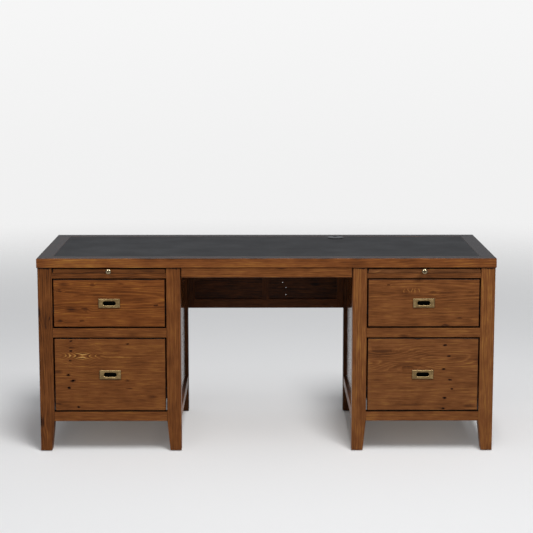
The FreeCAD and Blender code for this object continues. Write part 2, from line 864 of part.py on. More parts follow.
def make_front(label, z, middle):
    """An inset drawer front with eased edges and a blind mortise for the pull's cup."""
    body = eased_board(
        label + "_board",
        ("opening_inner + drawer_gap", "opening_outer - drawer_gap"),
        z,
        "front_face",
        "drawer_front_thick",
    )
    cutter = new_body(label + "_mortise")
    outline = oval(cutter, "XZ_Plane", "(cup_width + 2 * cup_clear)", "cup_height + 2 * cup_clear")
    bind(outline, **{"AttachmentOffset.Base.z": "overrun"})
    pad(cutter, outline, "cup_depth + cup_clear + overrun", reverse=True)
    put(cutter, "pedestal_centre", "front_face", middle)
    return cut(label, body, [cutter])


def make_side(label, height, tails):
    """A drawer side with dovetails at both ends, its low front corner at the body's origin."""
    body = new_body(label)
    rear = "box_length - box_board"
    core = [("box_board", "0"), (rear, "0"), (rear, height), ("box_board", height)]
    pad(body, polygon(body, "YZ_Plane", core), "box_board")
    pitch = f"{height} / {tails}"
    half_root = f"{pitch} * {TAIL_ROOT_SHARE} / 2"
    half_tip = f"{pitch} * {TAIL_TIP_SHARE} / 2"
    middle = f"{pitch} / 2"
    for root, tip in (("box_board", "0"), (rear, "box_length")):
        points = [
            (root, f"{middle} - {half_root}"),
            (tip, f"{middle} - {half_tip}"),
            (tip, f"{middle} + {half_tip}"),
            (root, f"{middle} + {half_root}"),
        ]
        outline = polygon(body, "YZ_Plane", points)
        tail = pad(body, outline, "box_board")
        row = body.newObject("PartDesign::LinearPattern", body.Name + "_tails")
        row.Originals = [tail]
        row.Direction = (outline, ["V_Axis"])
        row.Occurrences = tails
        bind(row, Length=f"{height} - {pitch}")
        body.Tip = row
        doc.recompute()
    return body


def make_box(label, low, height, tails, slots):
    """A drawer box: dovetailed sides, inner front and back, and a bottom held in grooves."""
    side = make_side(label + "_side_blank", height, tails)
    put(side, "box_inner", "box_front", low)
    other = mirrored(label + "_other_blank", side, plane="pedestal_centre")
    x = ("box_inner", "box_outer")
    groove = "box_board - bottom_groove"
    bottom = box(
        label + "_bottom",
        (f"box_inner + {groove}", f"box_outer - ({groove})"),
        (f"box_front + {groove}", f"box_rear - ({groove})"),
        (f"{low} + bottom_lift", f"{low} + bottom_lift + bottom_thick"),
    )
    z = (low, f"{low} + {height}")
    front = box(label + "_front_blank", x, ("box_front", "box_front + box_board"), z)
    back = box(label + "_back_blank", x, ("box_rear - box_board", "box_rear"), z)
    boards = [
        cut(label + "_inner_side", side, [bottom]),
        cut(label + "_outer_side", other, [bottom]),
        cut(label + "_inner_front", front, [side, other, bottom] + slots),
        cut(label + "_back", back, [side, other, bottom] + slots),
        bottom,
    ]
    return group(label, boards)


def channel(label, x, z, web):
    """A slide member: a straight channel of sheet steel, with its web on the low or high X side."""
    y = ("box_front + slide_start", "box_front + slide_start + slide_length")
    blank = box(label + "_blank", x, y, z)
    hollow_x = (f"{x[0]} + slide_gauge", f"{x[1]} + overrun")
    if web == "high":
        hollow_x = (f"{x[0]} - overrun", f"{x[1]} - slide_gauge")
    hollow_y = (f"{y[0]} - overrun", f"{y[1]} + overrun")
    hollow = box(label + "_hollow", hollow_x, hollow_y, (f"{z[0]} + slide_gauge", f"{z[1]} - slide_gauge"))
    return cut(label, blank, [hollow])


def make_slides(label, low):
    """The three nested members on both sides of a drawer: cabinet, middle and drawer member."""
    step = "slide_gauge + slide_clear"
    middle = f"{low} + slide_rise"
    members = {}
    for index, (name, web) in enumerate((("cabinet", "low"), ("middle", "low"), ("drawer", "high"))):
        half = f"slide_height / 2 - {index} * ({step})"
        z = (f"{middle} - ({half})", f"{middle} + {half}")
        reach = "slide_thick" if web == "high" else "slide_channel"
        x = (f"opening_inner + {index} * ({step})", f"opening_inner + {reach}")
        member = channel(f"{label}_{name}_inner", x, z, web)
        other = mirrored(f"{label}_{name}_outer", member, plane="pedestal_centre")
        members[name] = group(f"{label}_{name}", [member, other])
    return members


def make_file_rails(label, top):
    """Two bars for hanging files, let into the inner front and the back."""
    bars = []
    y = ("box_front + box_board - file_rail_rest", "box_rear - box_board + file_rail_rest")
    for side, centre in (
        ("inner", "box_inner + box_board + file_rail_inset"),
        ("outer", "box_outer - box_board - file_rail_inset"),
    ):
        x = (f"{centre} - file_rail_thick / 2", f"{centre} + file_rail_thick / 2")
        bars.append(box(f"{label}_{side}", x, y, (f"{top} - file_rail_height", top)))
    return bars


def make_drawer(level, opening, height, tails):
    """One drawer of the right-hand pedestal with its mirror image; returns its cabinet members."""
    front_z = (f"{opening[0]} + drawer_gap", f"{opening[1]} - drawer_gap")
    middle = f"(({opening[0]}) + ({opening[1]})) / 2"
    low = f"{opening[0]} + box_lift"
    name = level + "_drawer"
    bars = make_file_rails("file_rail", f"{low} + {height}") if level == "lower" else []
    node_pair("{side}_" + name + "_pull", make_pull(level + "_pull_body", middle))
    node_pair("{side}_" + name + "_front", make_front(name + "_front", front_z, middle))
    node_pair("{side}_" + name + "_box", make_box(name + "_box", low, height, tails, bars))
    members = make_slides(name, low)
    node_pair("{side}_" + name + "_runners", members["drawer"])
    node_pair("{side}_" + level + "_slide_middles", members["middle"])
    if bars:
        node_pair("{side}_file_rails", group("file_rails", bars))
    return members["cabinet"], f"{low} + slide_rise"


def make_drawers():
    """Both drawers of each pedestal, with the fixed slide members and battens that carry them."""
    levels = (
        ("upper", ("mid_rail_top", "tray_rail_low"), "upper_box_height", UPPER_TAILS),
        ("lower", ("bottom_rail_top", "mid_rail_low"), "lower_box_height", LOWER_TAILS),
    )
    cabinet_members = []
    battens = []
    for level, opening, height, tails in levels:
        members, slide_level = make_drawer(level, opening, height, tails)
        cabinet_members.append(members)
        batten = box(
            level + "_inner_batten",
            ("pedestal_inner + panel_setback + panel_thick", "opening_inner"),
            ("behind_front_legs", "before_rear_legs"),
            (f"{slide_level} - batten_height / 2", f"{slide_level} + batten_height / 2"),
        )
        other = mirrored(level + "_outer_batten", batten, plane="pedestal_centre")
        battens += [batten, other]
    for label, items in (("slide_cabinet_members", cabinet_members), ("slide_battens", battens)):
        right = group("right_" + label, items)
        node(label, group(label, [right, mirrored("left_" + label, right)]))


def check_model():
    """Stop on any object that failed to compute or any sub-part without a valid solid."""
    for item in doc.Objects:
        if "Invalid" in item.State or "Error" in item.State:
            raise ValueError(item.Label + " failed to compute")
    for item in nodes:
        shape = item.Shape
        if shape.isNull() or not shape.isValid() or not shape.Solids:
            raise ValueError(item.Label + " has no valid solid")
        if min(solid.Volume for solid in shape.Solids) <= 0:
            raise ValueError(item.Label + " has a solid without volume")


def write_parts():
    """Write each sub-part to its own file."""
    os.makedirs("parts", exist_ok=True)
    for item in nodes:
        item.Shape.exportStep(f"parts/{item.Label}.step")


fill_sheet()
all_bores = make_bolts()
make_top(all_bores)
make_grommet()
make_pedestals(all_bores)
make_kneehole(all_bores)
make_trays()
make_drawers()
doc.recompute()
check_model()
write_parts()
solid_count = sum(len(item.Shape.Solids) for item in nodes)
print(len(nodes), "sub-parts,", solid_count, "solids")
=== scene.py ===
"""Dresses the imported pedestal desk: stained pine, a leather top, brass pulls and knobs, in a soft studio."""

import logging
import math
import random
import zlib
from dataclasses import dataclass
from enum import Enum
from typing import Any, Callable, Iterable, Sequence

import bmesh
import bpy
from bpy.types import Material, Mesh, MeshPolygon, Modifier, Node, NodeSocket, NodeTree, Object
from mathutils import Matrix, Vector


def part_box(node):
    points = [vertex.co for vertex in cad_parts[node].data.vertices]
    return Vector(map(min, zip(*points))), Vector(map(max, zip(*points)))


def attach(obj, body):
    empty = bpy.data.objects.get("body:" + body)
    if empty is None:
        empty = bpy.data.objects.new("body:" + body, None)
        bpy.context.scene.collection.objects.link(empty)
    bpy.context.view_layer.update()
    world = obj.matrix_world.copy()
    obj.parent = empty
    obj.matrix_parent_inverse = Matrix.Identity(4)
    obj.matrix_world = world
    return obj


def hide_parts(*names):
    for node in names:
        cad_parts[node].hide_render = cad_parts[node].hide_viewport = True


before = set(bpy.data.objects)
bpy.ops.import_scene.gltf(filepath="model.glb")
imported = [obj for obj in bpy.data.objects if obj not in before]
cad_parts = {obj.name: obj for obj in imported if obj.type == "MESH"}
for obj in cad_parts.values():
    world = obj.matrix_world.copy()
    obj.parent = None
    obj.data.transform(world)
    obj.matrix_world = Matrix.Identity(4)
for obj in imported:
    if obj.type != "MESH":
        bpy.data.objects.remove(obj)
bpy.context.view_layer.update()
LOG = logging.getLogger("pedestal_desk")
MM = 0.001
HALF = (0.5, 0.5, 0.5)
X, Y, Z = range(3)

Pair = tuple[float, float]
Triple = tuple[float, float, float]
RGBA = tuple[float, float, float, float]


class Side(Enum):
    """Which pedestal."""

    LEFT = "left"
    RIGHT = "right"


class Level(Enum):
    """Which drawer of a pedestal."""

    UPPER = "upper"
    LOWER = "lower"


class Grain(Enum):
    """The axis of the row frame that a board's fibres follow."""

    ACROSS_DESK = 0
    FRONT_TO_BACK = 1
    UPRIGHT = 2


class MarkKind(Enum):
    """What shows in a board: length and width in mm, tone taken, the rings' bow in mm and added contrast."""

    KNOT = (32.0, 16.0, 0.22, 6.0, 0.0)
    NAIL_STAIN = (20.0, 11.0, 0.45, 0.0, 0.0)
    RESIN_SPOT = (36.0, 8.0, 0.24, 0.0, 0.0)
    FLAME = (150.0, 34.0, -0.14, 0.0, 1.5)
    FLAME_SWELL = (100.0, 120.0, 0.0, 18.0, 0.0)
    PALE_TICK = (7.0, 28.0, -0.3, 0.0, 0.0)
    PALE_STREAK = (260.0, 9.0, -0.14, 3.0, 0.0)
    DARK_FLAME = (240.0, 46.0, 0.14, 26.0, 0.1)
    # Painted shade: a dark band for the shade under the top's overhang and in the gaps at a tray's ends.
    GRIME = (9.0, 90.0, 0.45, 0.0, 0.0)


class Falls(Enum):
    """What a soft box lights, and what throws a shadow in its light."""

    ON_DESK = "everything but the floor, with every shadow"
    ON_FLOOR = "the floor, with the shadows of the pedestals"
    UNDER_DESK = "the floor, with the shadows of the pedestals' backs only"


def linear(code: str) -> RGBA:
    """Turns an sRGB hex colour into linear light.

    Args:
        code: the colour as #RRGGBB.

    Returns:
        Red, green, blue and a full alpha.
    """
    shares = [int(code[at:at + 2], 16) / 255 for at in (1, 3, 5)]
    red, green, blue = (s / 12.92 if s <= 0.04045 else ((s + 0.055) / 1.055) ** 2.4 for s in shares)
    return red, green, blue, 1.0


def grey(level: float) -> RGBA:
    """A neutral linear colour."""
    return level, level, level, 1.0


def per_metre(*sizes: float) -> tuple[float, ...]:
    """Turns the sizes of a pattern in mm into its scale per metre."""
    return tuple(1 / (size * MM) for size in sizes)


def add(tree: NodeTree, kind: str, inputs: dict | None = None, **settings: Any) -> Node:
    """Adds a node with its settings, values and links.

    Args:
        tree: the tree that gets the node.
        kind: the node's type.
        inputs: sockets by name, or by place among those in use, and a value, a socket or a node for each.
        settings: properties of the node. The stops of a ramp are pairs of place and colour.

    Returns:
        The new node.
    """
    node = tree.nodes.new(kind)
    for key, value in settings.items():
        if key != "stops":
            setattr(node, key, value)
            continue
        elements = node.color_ramp.elements
        while len(elements) < len(value):
            elements.new(1.0)
        for element, (place, colour) in zip(elements, value):
            element.position = place
            element.color = colour
    for key, value in (inputs or {}).items():
        in_use = [socket for socket in node.inputs if socket.enabled]
        socket = node.inputs[key] if isinstance(key, str) else in_use[key]
        if isinstance(value, Node):
            value = next(out for out in value.outputs if out.enabled)
        if isinstance(value, NodeSocket):
            tree.links.new(value, socket)
        else:
            socket.default_value = value
    return node


@dataclass(frozen=True)
class Graph:
    """A tree of shader nodes, with a short form for each kind of node that the finishes share.

    Attributes:
        tree: the tree.
        material: the material that the tree belongs to, if any.
    """

    tree: NodeTree
    material: Material | None = None

    # The largest share of one axis in the direction of an eased edge, and of a face.
    EDGE_TO_FACE = (0.86, 0.975)

    def number(self, operation: str, *values: Any) -> Node:
        """Adds a calculation with numbers."""
        return add(self.tree, "ShaderNodeMath", dict(enumerate(values)), operation=operation)

    def vector(self, operation: str, *values: Any) -> Node:
        """Adds a calculation with vectors."""
        return add(self.tree, "ShaderNodeVectorMath", dict(enumerate(values)), operation=operation)

    def fade(self, value: Any, *ends: float, kind: str = "LINEAR") -> Node:
        """Adds a fade: the ends are where it starts and stops, and the levels that it has there."""
        return add(self.tree, "ShaderNodeMapRange", dict(enumerate((value, *ends))), interpolation_type=kind)

    def noise(self, place: Any, detail: float, *sizes_mm: float) -> Node:
        """Adds noise of one size in mm, or of a size along each axis."""
        scaled = self.vector("MULTIPLY", place, per_metre(*(sizes_mm * 3)[:3]))
        return add(self.tree, "ShaderNodeTexNoise", {"Vector": scaled, "Scale": 1.0, "Detail": detail})

    def blend(self, share: Any, first: Any, last: Any, kind: str = "MIX") -> Node:
        """Adds a blend of two colours."""
        colours = {0: share, 1: first, 2: last}
        return add(self.tree, "ShaderNodeMix", colours, data_type="RGBA", blend_type=kind)

    def ramp(self, value: Any, stops: Iterable[tuple[float, RGBA]]) -> Node:
        """Adds a ramp of colours."""
        return add(self.tree, "ShaderNodeValToRGB", {0: value}, stops=list(stops))

    def bump(self, height: Any, depth_mm: float, strength: float) -> Node:
        """Adds a relief."""
        values = {"Strength": strength, "Distance": depth_mm * MM, "Height": height}
        return add(self.tree, "ShaderNodeBump", values)

    def where(self) -> NodeSocket:
        """The place of a point in the row frame, in metres."""
        return add(self.tree, "ShaderNodeTexCoord").outputs["Object"]

    def parts(self, vector: Any) -> Sequence[NodeSocket]:
        """The X, Y and Z of a vector."""
        return add(self.tree, "ShaderNodeSeparateXYZ", {0: vector}).outputs

    def facing(self) -> Node:
        """The shares of X, Y and Z in a face's direction."""
        return self.vector("ABSOLUTE", add(self.tree, "ShaderNodeNewGeometry").outputs["True Normal"])

    def askew(self, facing: Node) -> Node:
        """Gives 1 on eased edges, which lie askew to the desk's faces, and 0 on faces."""
        x, y, z = self.parts(facing)
        return self.fade(self.number("MAXIMUM", self.number("MAXIMUM", x, y), z),
                         *self.EDGE_TO_FACE, 1.0, 0.0)

    def surface(self, inputs: dict[str, Any]) -> Material | None:
        """Adds the shader and the output, which completes the material."""
        return self.output(add(self.tree, "ShaderNodeBsdfPrincipled", inputs))

    def output(self, shader: Node) -> Material | None:
        """Adds the output, which completes the material."""
        add(self.tree, "ShaderNodeOutputMaterial", {"Surface": shader})
        return self.material


def blank(name: str) -> Graph:
    """Makes a material without nodes.

    Args:
        name: the material's name.

    Returns:
        The material and its tree.
    """
    material = bpy.data.materials.new(name)
    material.use_nodes = True
    material.node_tree.nodes.clear()
    return Graph(material.node_tree, material)


def new_group(name: str, vectors: str, numbers: str, results: str) -> tuple[Graph, Any]:
    """Makes a node group.

    Args:
        name: the group's name.
        vectors: the names of the vectors that it takes.
        numbers: the names of the numbers that it takes.
        results: the names of the numbers that it gives.

    Returns:
        The group's tree, and the sockets that give what it takes.
    """
    tree = bpy.data.node_groups.new(name, "ShaderNodeTree")
    kinds = ((vectors, "INPUT", "Vector"), (numbers, "INPUT", "Float"), (results, "OUTPUT", "Float"))
    for names, way, kind in kinds:
        for socket in names.split():
            tree.interface.new_socket(socket, in_out=way, socket_type=f"NodeSocket{kind}")
    return Graph(tree), add(tree, "NodeGroupInput").outputs


def modify(obj: Object, kind: str, **settings: Any) -> Modifier:
    """Adds a modifier with its settings.

    Args:
        obj: the object that gets it.
        kind: the modifier's type.
        settings: properties of the modifier.

    Returns:
        The new modifier.
    """
    modifier = obj.modifiers.new(kind.lower(), kind)
    for key, value in settings.items():
        setattr(modifier, key, value)
    return modifier


def new_object(name: str, made: bmesh.types.BMesh, material: Material) -> Object:
    """Turns a finished mesh into an object of the scene.

    Args:
        name: the object's name.
        made: the mesh, in the row frame in metres. It is freed.
        material: its finish.

    Returns:
        The new object.
    """
    mesh = bpy.data.meshes.new(name)
    bmesh.ops.recalc_face_normals(made, faces=made.faces[:])
    made.to_mesh(mesh)
    made.free()
    mesh.materials.append(material)
    obj = bpy.data.objects.new(name, mesh)
    bpy.context.scene.collection.objects.link(obj)
    return obj


@dataclass(frozen=True)
class Mark:
    """A knot, stain or flame of one board, placed in mm of the row frame.

    Attributes:
        kind: what it is.
        along: its place along the grain.
        across: its place across the board's width.
        size: its size against the usual one.
    """

    kind: MarkKind
    along: float
    across: float
    size: float = 1.0


@dataclass(frozen=True)
class Board:
    """One board: its box in the row frame, the way its fibres run, and what shows in it.

    Attributes:
        name: the board's own name, which also seeds its figure.
        low: the lowest corner.
        high: the highest corner.
        grain: the axis of its fibres.
        marks: its knots, stains and flames.
        heart: where the middle of its figure lies across the width, in mm of the row frame, and how far
            behind its front the stem's heart lies.
        tone: how much lighter it is than the others.
        face_tone: how much lighter its faces across X, Y and Z are made. It paints shade on faces that lie in
            gaps, under the top or deep in the kneehole, and on the top's upper faces.
        gloss: how much less rough it is than the others, and how much of its grain the lacquer fills.
        rubbed: how much its eased edges are rubbed pale. Below zero, they are painted darker: painted shade
            that deepens the lines between parts.
        warmth: how red it is, or None for its own draw.
        redraw: how many draws of its figure were passed over, because a knot lay where the photo has none.
    """

    name: str
    low: Vector
    high: Vector
    grain: Grain
    marks: tuple[Mark, ...] = ()
    heart: Pair | None = None
    tone: float = 0.0
    face_tone: Triple = (0.0, 0.0, 0.0)
    gloss: float = 0.0
    # By default the eased edges are painted darker, as shade along the joints and gaps.
    rubbed: float = -0.5
    warmth: float | None = None
    redraw: int = 0

    # Sides are compared in steps of this length.
    STEP = 5 * MM
    # How far the heart lies aside of the middle, in widths, and behind the back, in metres.
    ASIDE_SHARE = 0.35
    BEHIND = (0.03, 0.09)
    # A narrower board is cut from the stem's side, this far from the heart, so that its grain runs straight.
    NARROW = 80 * MM
    NARROW_ASIDE = (0.09, 0.16)

    def centre(self) -> Vector:
        """The middle of the board."""
        return (self.low + self.high) / 2

    def order(self) -> list[int]:
        """The axes along the grain, across the width and through the thickness."""
        steps = [round((high - low) / self.STEP) for low, high in zip(self.low, self.high)]
        return sorted(range(3), key=lambda axis: (axis != self.grain.value, -steps[axis]))

    def local(self, along: float, across: float) -> Triple:
        """Turns a place on the face, in mm of the row frame, into the board's own axes in metres."""
        first, second, _ = self.order()
        return along * MM - self.centre()[first], across * MM - self.centre()[second], 0.0

    def pith(self, luck: random.Random) -> Triple:
        """Draws where the heart of the stem lay, beside the board.

        Args:
            luck: the board's own seeded draws.

        Returns:
            The place in the board's own axes, in metres.
        """
        _, second, third = self.order()
        width = self.high[second] - self.low[second]
        thick = self.high[third] - self.low[third]
        aside = luck.uniform(-self.ASIDE_SHARE, self.ASIDE_SHARE) * width
        behind = thick / 2 + luck.uniform(*self.BEHIND)
        if width < self.NARROW:
            aside = luck.choice((-1, 1)) * luck.uniform(*self.NARROW_ASIDE)
        if self.heart is not None:
            aside = self.heart[0] * MM - self.centre()[second]
            behind = self.heart[1] * MM - thick / 2
        return 0.0, aside, behind

    def place(self, graph: Graph) -> Node:
        """Adds the nodes that give a point in the board's own axes, in metres from its middle."""
        parts = graph.parts(graph.vector("SUBTRACT", graph.where(), self.centre()))
        return add(graph.tree, "ShaderNodeCombineXYZ",
                   {at: parts[axis] for at, axis in enumerate(self.order())})


@dataclass(frozen=True)
class PineGrain:
    """The figure of plain-sawn pine, shared by its finishes as two node groups.

    Attributes:
        ring_mm: width of a year's ring. Pine has 2 to 4 mm, drawn coarser so that it shows at 4 mm a pixel.
        ring_profile: places in a year and their levels. The stain soaks into soft early wood and leaves the
            hard late wood as a paler line with a sharp end.
        year_gain: how strongly a year shows, as the spread between years and the least.
        ring_gain: how strongly the rings show in the tone.
        stem_mm: how slowly the stem wanders along and across the board.
        bow_mm: how far it wanders.
        curl_mm: how finely the rings waver.
        waver_mm: how far they waver.
        taper: how fast the stem narrows, which draws the arches.
        knot_mm: length and width of the field that may hold one small knot.
        knotless: share of the fields that hold none.
        knot_core: where a small knot's core starts and ends to fade, in fields, and the tone that it takes.
        knot_bow: how far from it the rings bow, in fields, and by how many mm.
        mark_core: where a mark's core starts and ends to fade, in parts of its length and width.
        layers: size along and across the fibres in mm, detail and gain of the fibre (drawn about twice as
            coarse as its 1 mm so that it shows), the streaks of early and late wood, and the stain's clouds.
        fibre_relief: how much deeper the fibre's relief is than the rings'.
    """

    ring_mm: float = 5.2
    ring_profile: tuple[Pair, ...] = ((0.0, 0.46), (0.18, 0.26), (0.62, 0.48), (0.86, 1.0), (0.97, 0.74))
    year_gain: Pair = (0.75, 0.4)
    ring_gain: float = 0.28
    stem_mm: Triple = (620.0, 150.0, 150.0)
    bow_mm: float = 24.0
    curl_mm: Triple = (85.0, 13.0, 13.0)
    waver_mm: float = 3.2
    taper: float = 0.016
    knot_mm: Pair = (250.0, 95.0)
    knotless: float = 0.7
    knot_core: Triple = (0.03, 0.11, 0.22)
    knot_bow: Pair = (0.34, 6.0)
    mark_core: Pair = (0.1, 0.55)
    layers: tuple[tuple[Triple, float, float], ...] = (
        ((44.0, 2.6, 2.6), 3.0, 0.46), ((140.0, 8.0, 24.0), 2.0, 0.38), ((75.0, 42.0, 42.0), 2.0, 0.34))
    fibre_relief: float = 2.0

    def build(self) -> NodeTree:
        """Makes the group that turns a place in a board into its tone and relief.

        Returns:
            The group.
        """
        graph, given = new_group("plain_sawn_pine", "Place Shift Pith", "Swell Shade Lively", "Tone Relief")
        moved = graph.vector("ADD", given["Place"], given["Shift"])
        swell, shade = self.small_knots(graph, moved)
        swell = graph.number("ADD", swell, given["Swell"])
        shade = graph.number("ADD", shade, given["Shade"])
        rings = relief = self.rings(graph, given, moved, swell)
        gain = graph.number("ADD", given["Lively"], self.ring_gain)
        tone = graph.number("MULTIPLY_ADD", rings, gain, 0.5)
        for sizes, detail, gain in self.layers:
            level = graph.number("SUBTRACT", graph.noise(moved, detail, *sizes), 0.5)
            tone = graph.number("MULTIPLY_ADD", level, gain, tone)
            if sizes == self.layers[0][0]:
                relief = graph.number("MULTIPLY_ADD", level, self.fibre_relief, relief)
        tone = graph.number("SUBTRACT", tone, shade)
        add(graph.tree, "NodeGroupOutput", {"Tone": tone, "Relief": relief})
        return graph.tree

    def small_knots(self, graph: Graph, moved: Node) -> list[Node]:
        """Adds sparse pin knots, elongated along the grain.

        Args:
            graph: the group's tree.
            moved: the place in the board, shifted by its own draw.

        Returns:
            How far the rings bow round them in metres, and how much tone they take.
        """
        scaled = graph.vector("MULTIPLY", moved, (*per_metre(*self.knot_mm), 1.0))
        cell = add(graph.tree, "ShaderNodeTexVoronoi", {"Vector": scaled, "Scale": 1.0},
                   voronoi_dimensions="2D")
        chosen = graph.number("GREATER_THAN", cell.outputs["Color"], self.knotless)
        reach, bow_mm = self.knot_bow
        bow = graph.fade(cell.outputs["Distance"], 0.0, reach, bow_mm * MM, 0.0, kind="SMOOTHSTEP")
        core = graph.fade(cell.outputs["Distance"], *self.knot_core, 0.0)
        return [graph.number("MULTIPLY", part, chosen) for part in (bow, core)]

    def rings(self, graph: Graph, given: Any, moved: Node, swell: Node) -> Node:
        """Adds the year rings, cut by the board's face.

        Args:
            graph: the group's tree.
            given: the group's inputs.
            moved: the place in the board, shifted by its own draw.
            swell: how far the rings bow out here.

        Returns:
            The rings' tone, about zero in the mean.
        """
        stem = graph.noise(moved, 1.0, *self.stem_mm).outputs["Color"]
        wander = graph.vector("SUBTRACT", stem, HALF)
        beside = graph.vector("SUBTRACT", given["Place"], given["Pith"])
        bow = (0.0, self.bow_mm * MM, self.bow_mm * MM)
        bowed = graph.vector("MULTIPLY_ADD", wander, bow, beside)
        radius = graph.vector("LENGTH", graph.vector("MULTIPLY", bowed, (0.0, 1.0, 1.0)))
        radius = graph.number("MULTIPLY_ADD", graph.parts(given["Place"])[X], self.taper, radius)
        curl = graph.noise(moved, 2.0, *self.curl_mm)
        radius = graph.number("MULTIPLY_ADD", curl, self.waver_mm * MM, radius)
        radius = graph.number("ADD", radius, swell)
        years = graph.number("MULTIPLY", radius, *per_metre(self.ring_mm))
        year = graph.number("FLOOR", years)
        strong = add(graph.tree, "ShaderNodeTexWhiteNoise", {"W": year}, noise_dimensions="1D")
        stops = [(at, grey(level)) for at, level in self.ring_profile]
        level = graph.number("SUBTRACT", graph.ramp(graph.number("FRACT", years), stops), 0.5)
        return graph.number("MULTIPLY", level, graph.number("MULTIPLY_ADD", strong, *self.year_gain))

    def mark_group(self) -> NodeTree:
        """Makes the group that adds one mark to the bow, the shade and the rings' contrast so far.

        Returns:
            The group.
        """
        graph, given = new_group("mark_in_board", "Place Centre Reach", "Bow Take Liven Swell Shade Lively",
                                 "Swell Shade Lively")
        away = graph.vector("SUBTRACT", given["Place"], given["Centre"])
        away = graph.vector("LENGTH", graph.vector("MULTIPLY", away, given["Reach"]))
        wide = graph.fade(away, 0.0, 1.0, 1.0, 0.0, kind="SMOOTHSTEP")
        core = graph.fade(away, *self.mark_core, 1.0, 0.0, kind="SMOOTHSTEP")
        sums = (("Swell", wide, "Bow"), ("Shade", core, "Take"), ("Lively", core, "Liven"))
        add(graph.tree, "NodeGroupOutput", {
            result: graph.number("MULTIPLY_ADD", part, given[gain], given[result])
            for result, part, gain in sums})
        return graph.tree


@dataclass(frozen=True)
class PineFinish:
    """A finish of pine boards: its tones from knot to sapwood, and how its surface was left.

    Attributes:
        name: the finish's name.
        tones: places and sRGB colours from the darkest knot to the palest wood.
        roughness: roughness of a middle tone. Lacquer has 0.2 to 0.4, planed wood 0.6 to 0.8.
        specular: how much of the usual reflection is left. A wiped, thin lacquer has little.
        wear: how much the tone of eased edges can change.
        relief_mm: depth of the fibre's relief.
        grain: the node group of the figure.
        mark: the node group of one mark.
        rougher: what dark tones, and pale ones, add to the roughness.
        ragged_mm: size of the ripples in a mark's outline.
        ragged_by: how far they go along and across the grain, in metres.
        patch_mm: size of the patches in the wear of edges.
        patch_fade: where these start and end in the noise, and the wear outside and inside them.
    """

    name: str
    tones: tuple[tuple[float, str], ...]
    roughness: float
    specular: float
    wear: float
    relief_mm: float
    grain: NodeTree
    mark: NodeTree
    rougher: Pair = (0.1, -0.06)
    ragged_mm: float = 16.0
    ragged_by: Triple = (0.022, 0.007, 0.0)
    patch_mm: float = 45.0
    patch_fade: tuple[float, ...] = (0.32, 0.62, 0.25, 1.0)

    # How far a board's own draws go: its place in the figure in metres, its tone and its warmth.
    DRAWS = (40, 0.035, 0.04)

    def material(self, board: Board) -> Material:
        """Makes the finish of one board, with a figure of its own.

        Args:
            board: the board.

        Returns:
            The material.
        """
        graph = blank(f"{self.name}_{board.name}")
        luck = random.Random(zlib.crc32(board.name.encode()) + board.redraw)
        far, lighter, redder = self.DRAWS
        shift = tuple(luck.uniform(-far, far) for _ in range(3))
        tone_shift = board.tone + luck.uniform(-lighter, lighter)
        warmth = luck.uniform(1 - redder, 1 + redder) if board.warmth is None else board.warmth
        place = board.place(graph)
        figure = add(graph.tree, "ShaderNodeGroup", {
            "Place": place, "Shift": shift, "Pith": board.pith(luck), **self.marks(graph, board, place)},
            node_tree=self.grain).outputs
        facing = graph.facing()
        tone = graph.number("ADD", figure["Tone"], tone_shift)
        tone = graph.number("ADD", tone, graph.vector("DOT_PRODUCT", facing, board.face_tone))
        # Eased edges turn paler with a positive rubbed, and darker, as painted shade, with a negative one.
        rubbed = self.rubbed(graph, place, facing)
        tone = graph.number("MULTIPLY_ADD", rubbed, self.wear * board.rubbed, tone)
        colour = graph.ramp(tone, [(at, linear(code)) for at, code in self.tones])
        colour = graph.blend(1.0, colour, (1.0, 1 / warmth, 1 / warmth ** 3, 1.0), kind="MULTIPLY")
        rough = [self.roughness - board.gloss + more for more in self.rougher]
        relief_mm = self.relief_mm * (1 - board.gloss / self.roughness)
        return graph.surface({
            "Base Color": colour, "Roughness": graph.fade(tone, 0.1, 0.9, *rough), "IOR": 1.5,
            "Normal": graph.bump(figure["Relief"], relief_mm, 0.5), "Specular IOR Level": self.specular})

    def marks(self, graph: Graph, board: Board, place: Node) -> dict[str, Any]:
        """Adds the board's own knots, stains and flames, with wavering outlines.

        Args:
            graph: the material's tree.
            board: the board.
            place: the node that gives a place in the board.

        Returns:
            The rings' bow in metres, the tone taken and the rings' added contrast, as sockets or zeros.
        """
        so_far: dict[str, Any] = {"Swell": 0.0, "Shade": 0.0, "Lively": 0.0}
        if not board.marks:
            return so_far
        ragged = graph.vector("SUBTRACT", graph.noise(place, 2.0, self.ragged_mm).outputs["Color"], HALF)
        ragged = graph.vector("MULTIPLY_ADD", ragged, self.ragged_by, place)
        flat = graph.vector("MULTIPLY", ragged, (1.0, 1.0, 0.0))
        for mark in board.marks:
            length, width, take, bow, liven = mark.kind.value
            node = add(graph.tree, "ShaderNodeGroup", {
                "Place": flat, "Centre": board.local(mark.along, mark.across),
                "Reach": (*per_metre(length * mark.size, width * mark.size), 0.0),
                "Bow": bow * mark.size * MM, "Take": take, "Liven": liven, **so_far}, node_tree=self.mark)
            so_far = {name: node.outputs[name] for name in so_far}
        return so_far

    def rubbed(self, graph: Graph, place: Node, facing: Node) -> Node:
        """Adds the mask of eased edges, from 0 to 1 in patches, for their wear and for the painted shade that
        a negative rubbed gives.
        """
        patchy = graph.fade(graph.noise(place, 3.0, self.patch_mm), *self.patch_fade)
        return graph.number("MULTIPLY", graph.askew(facing), patchy)


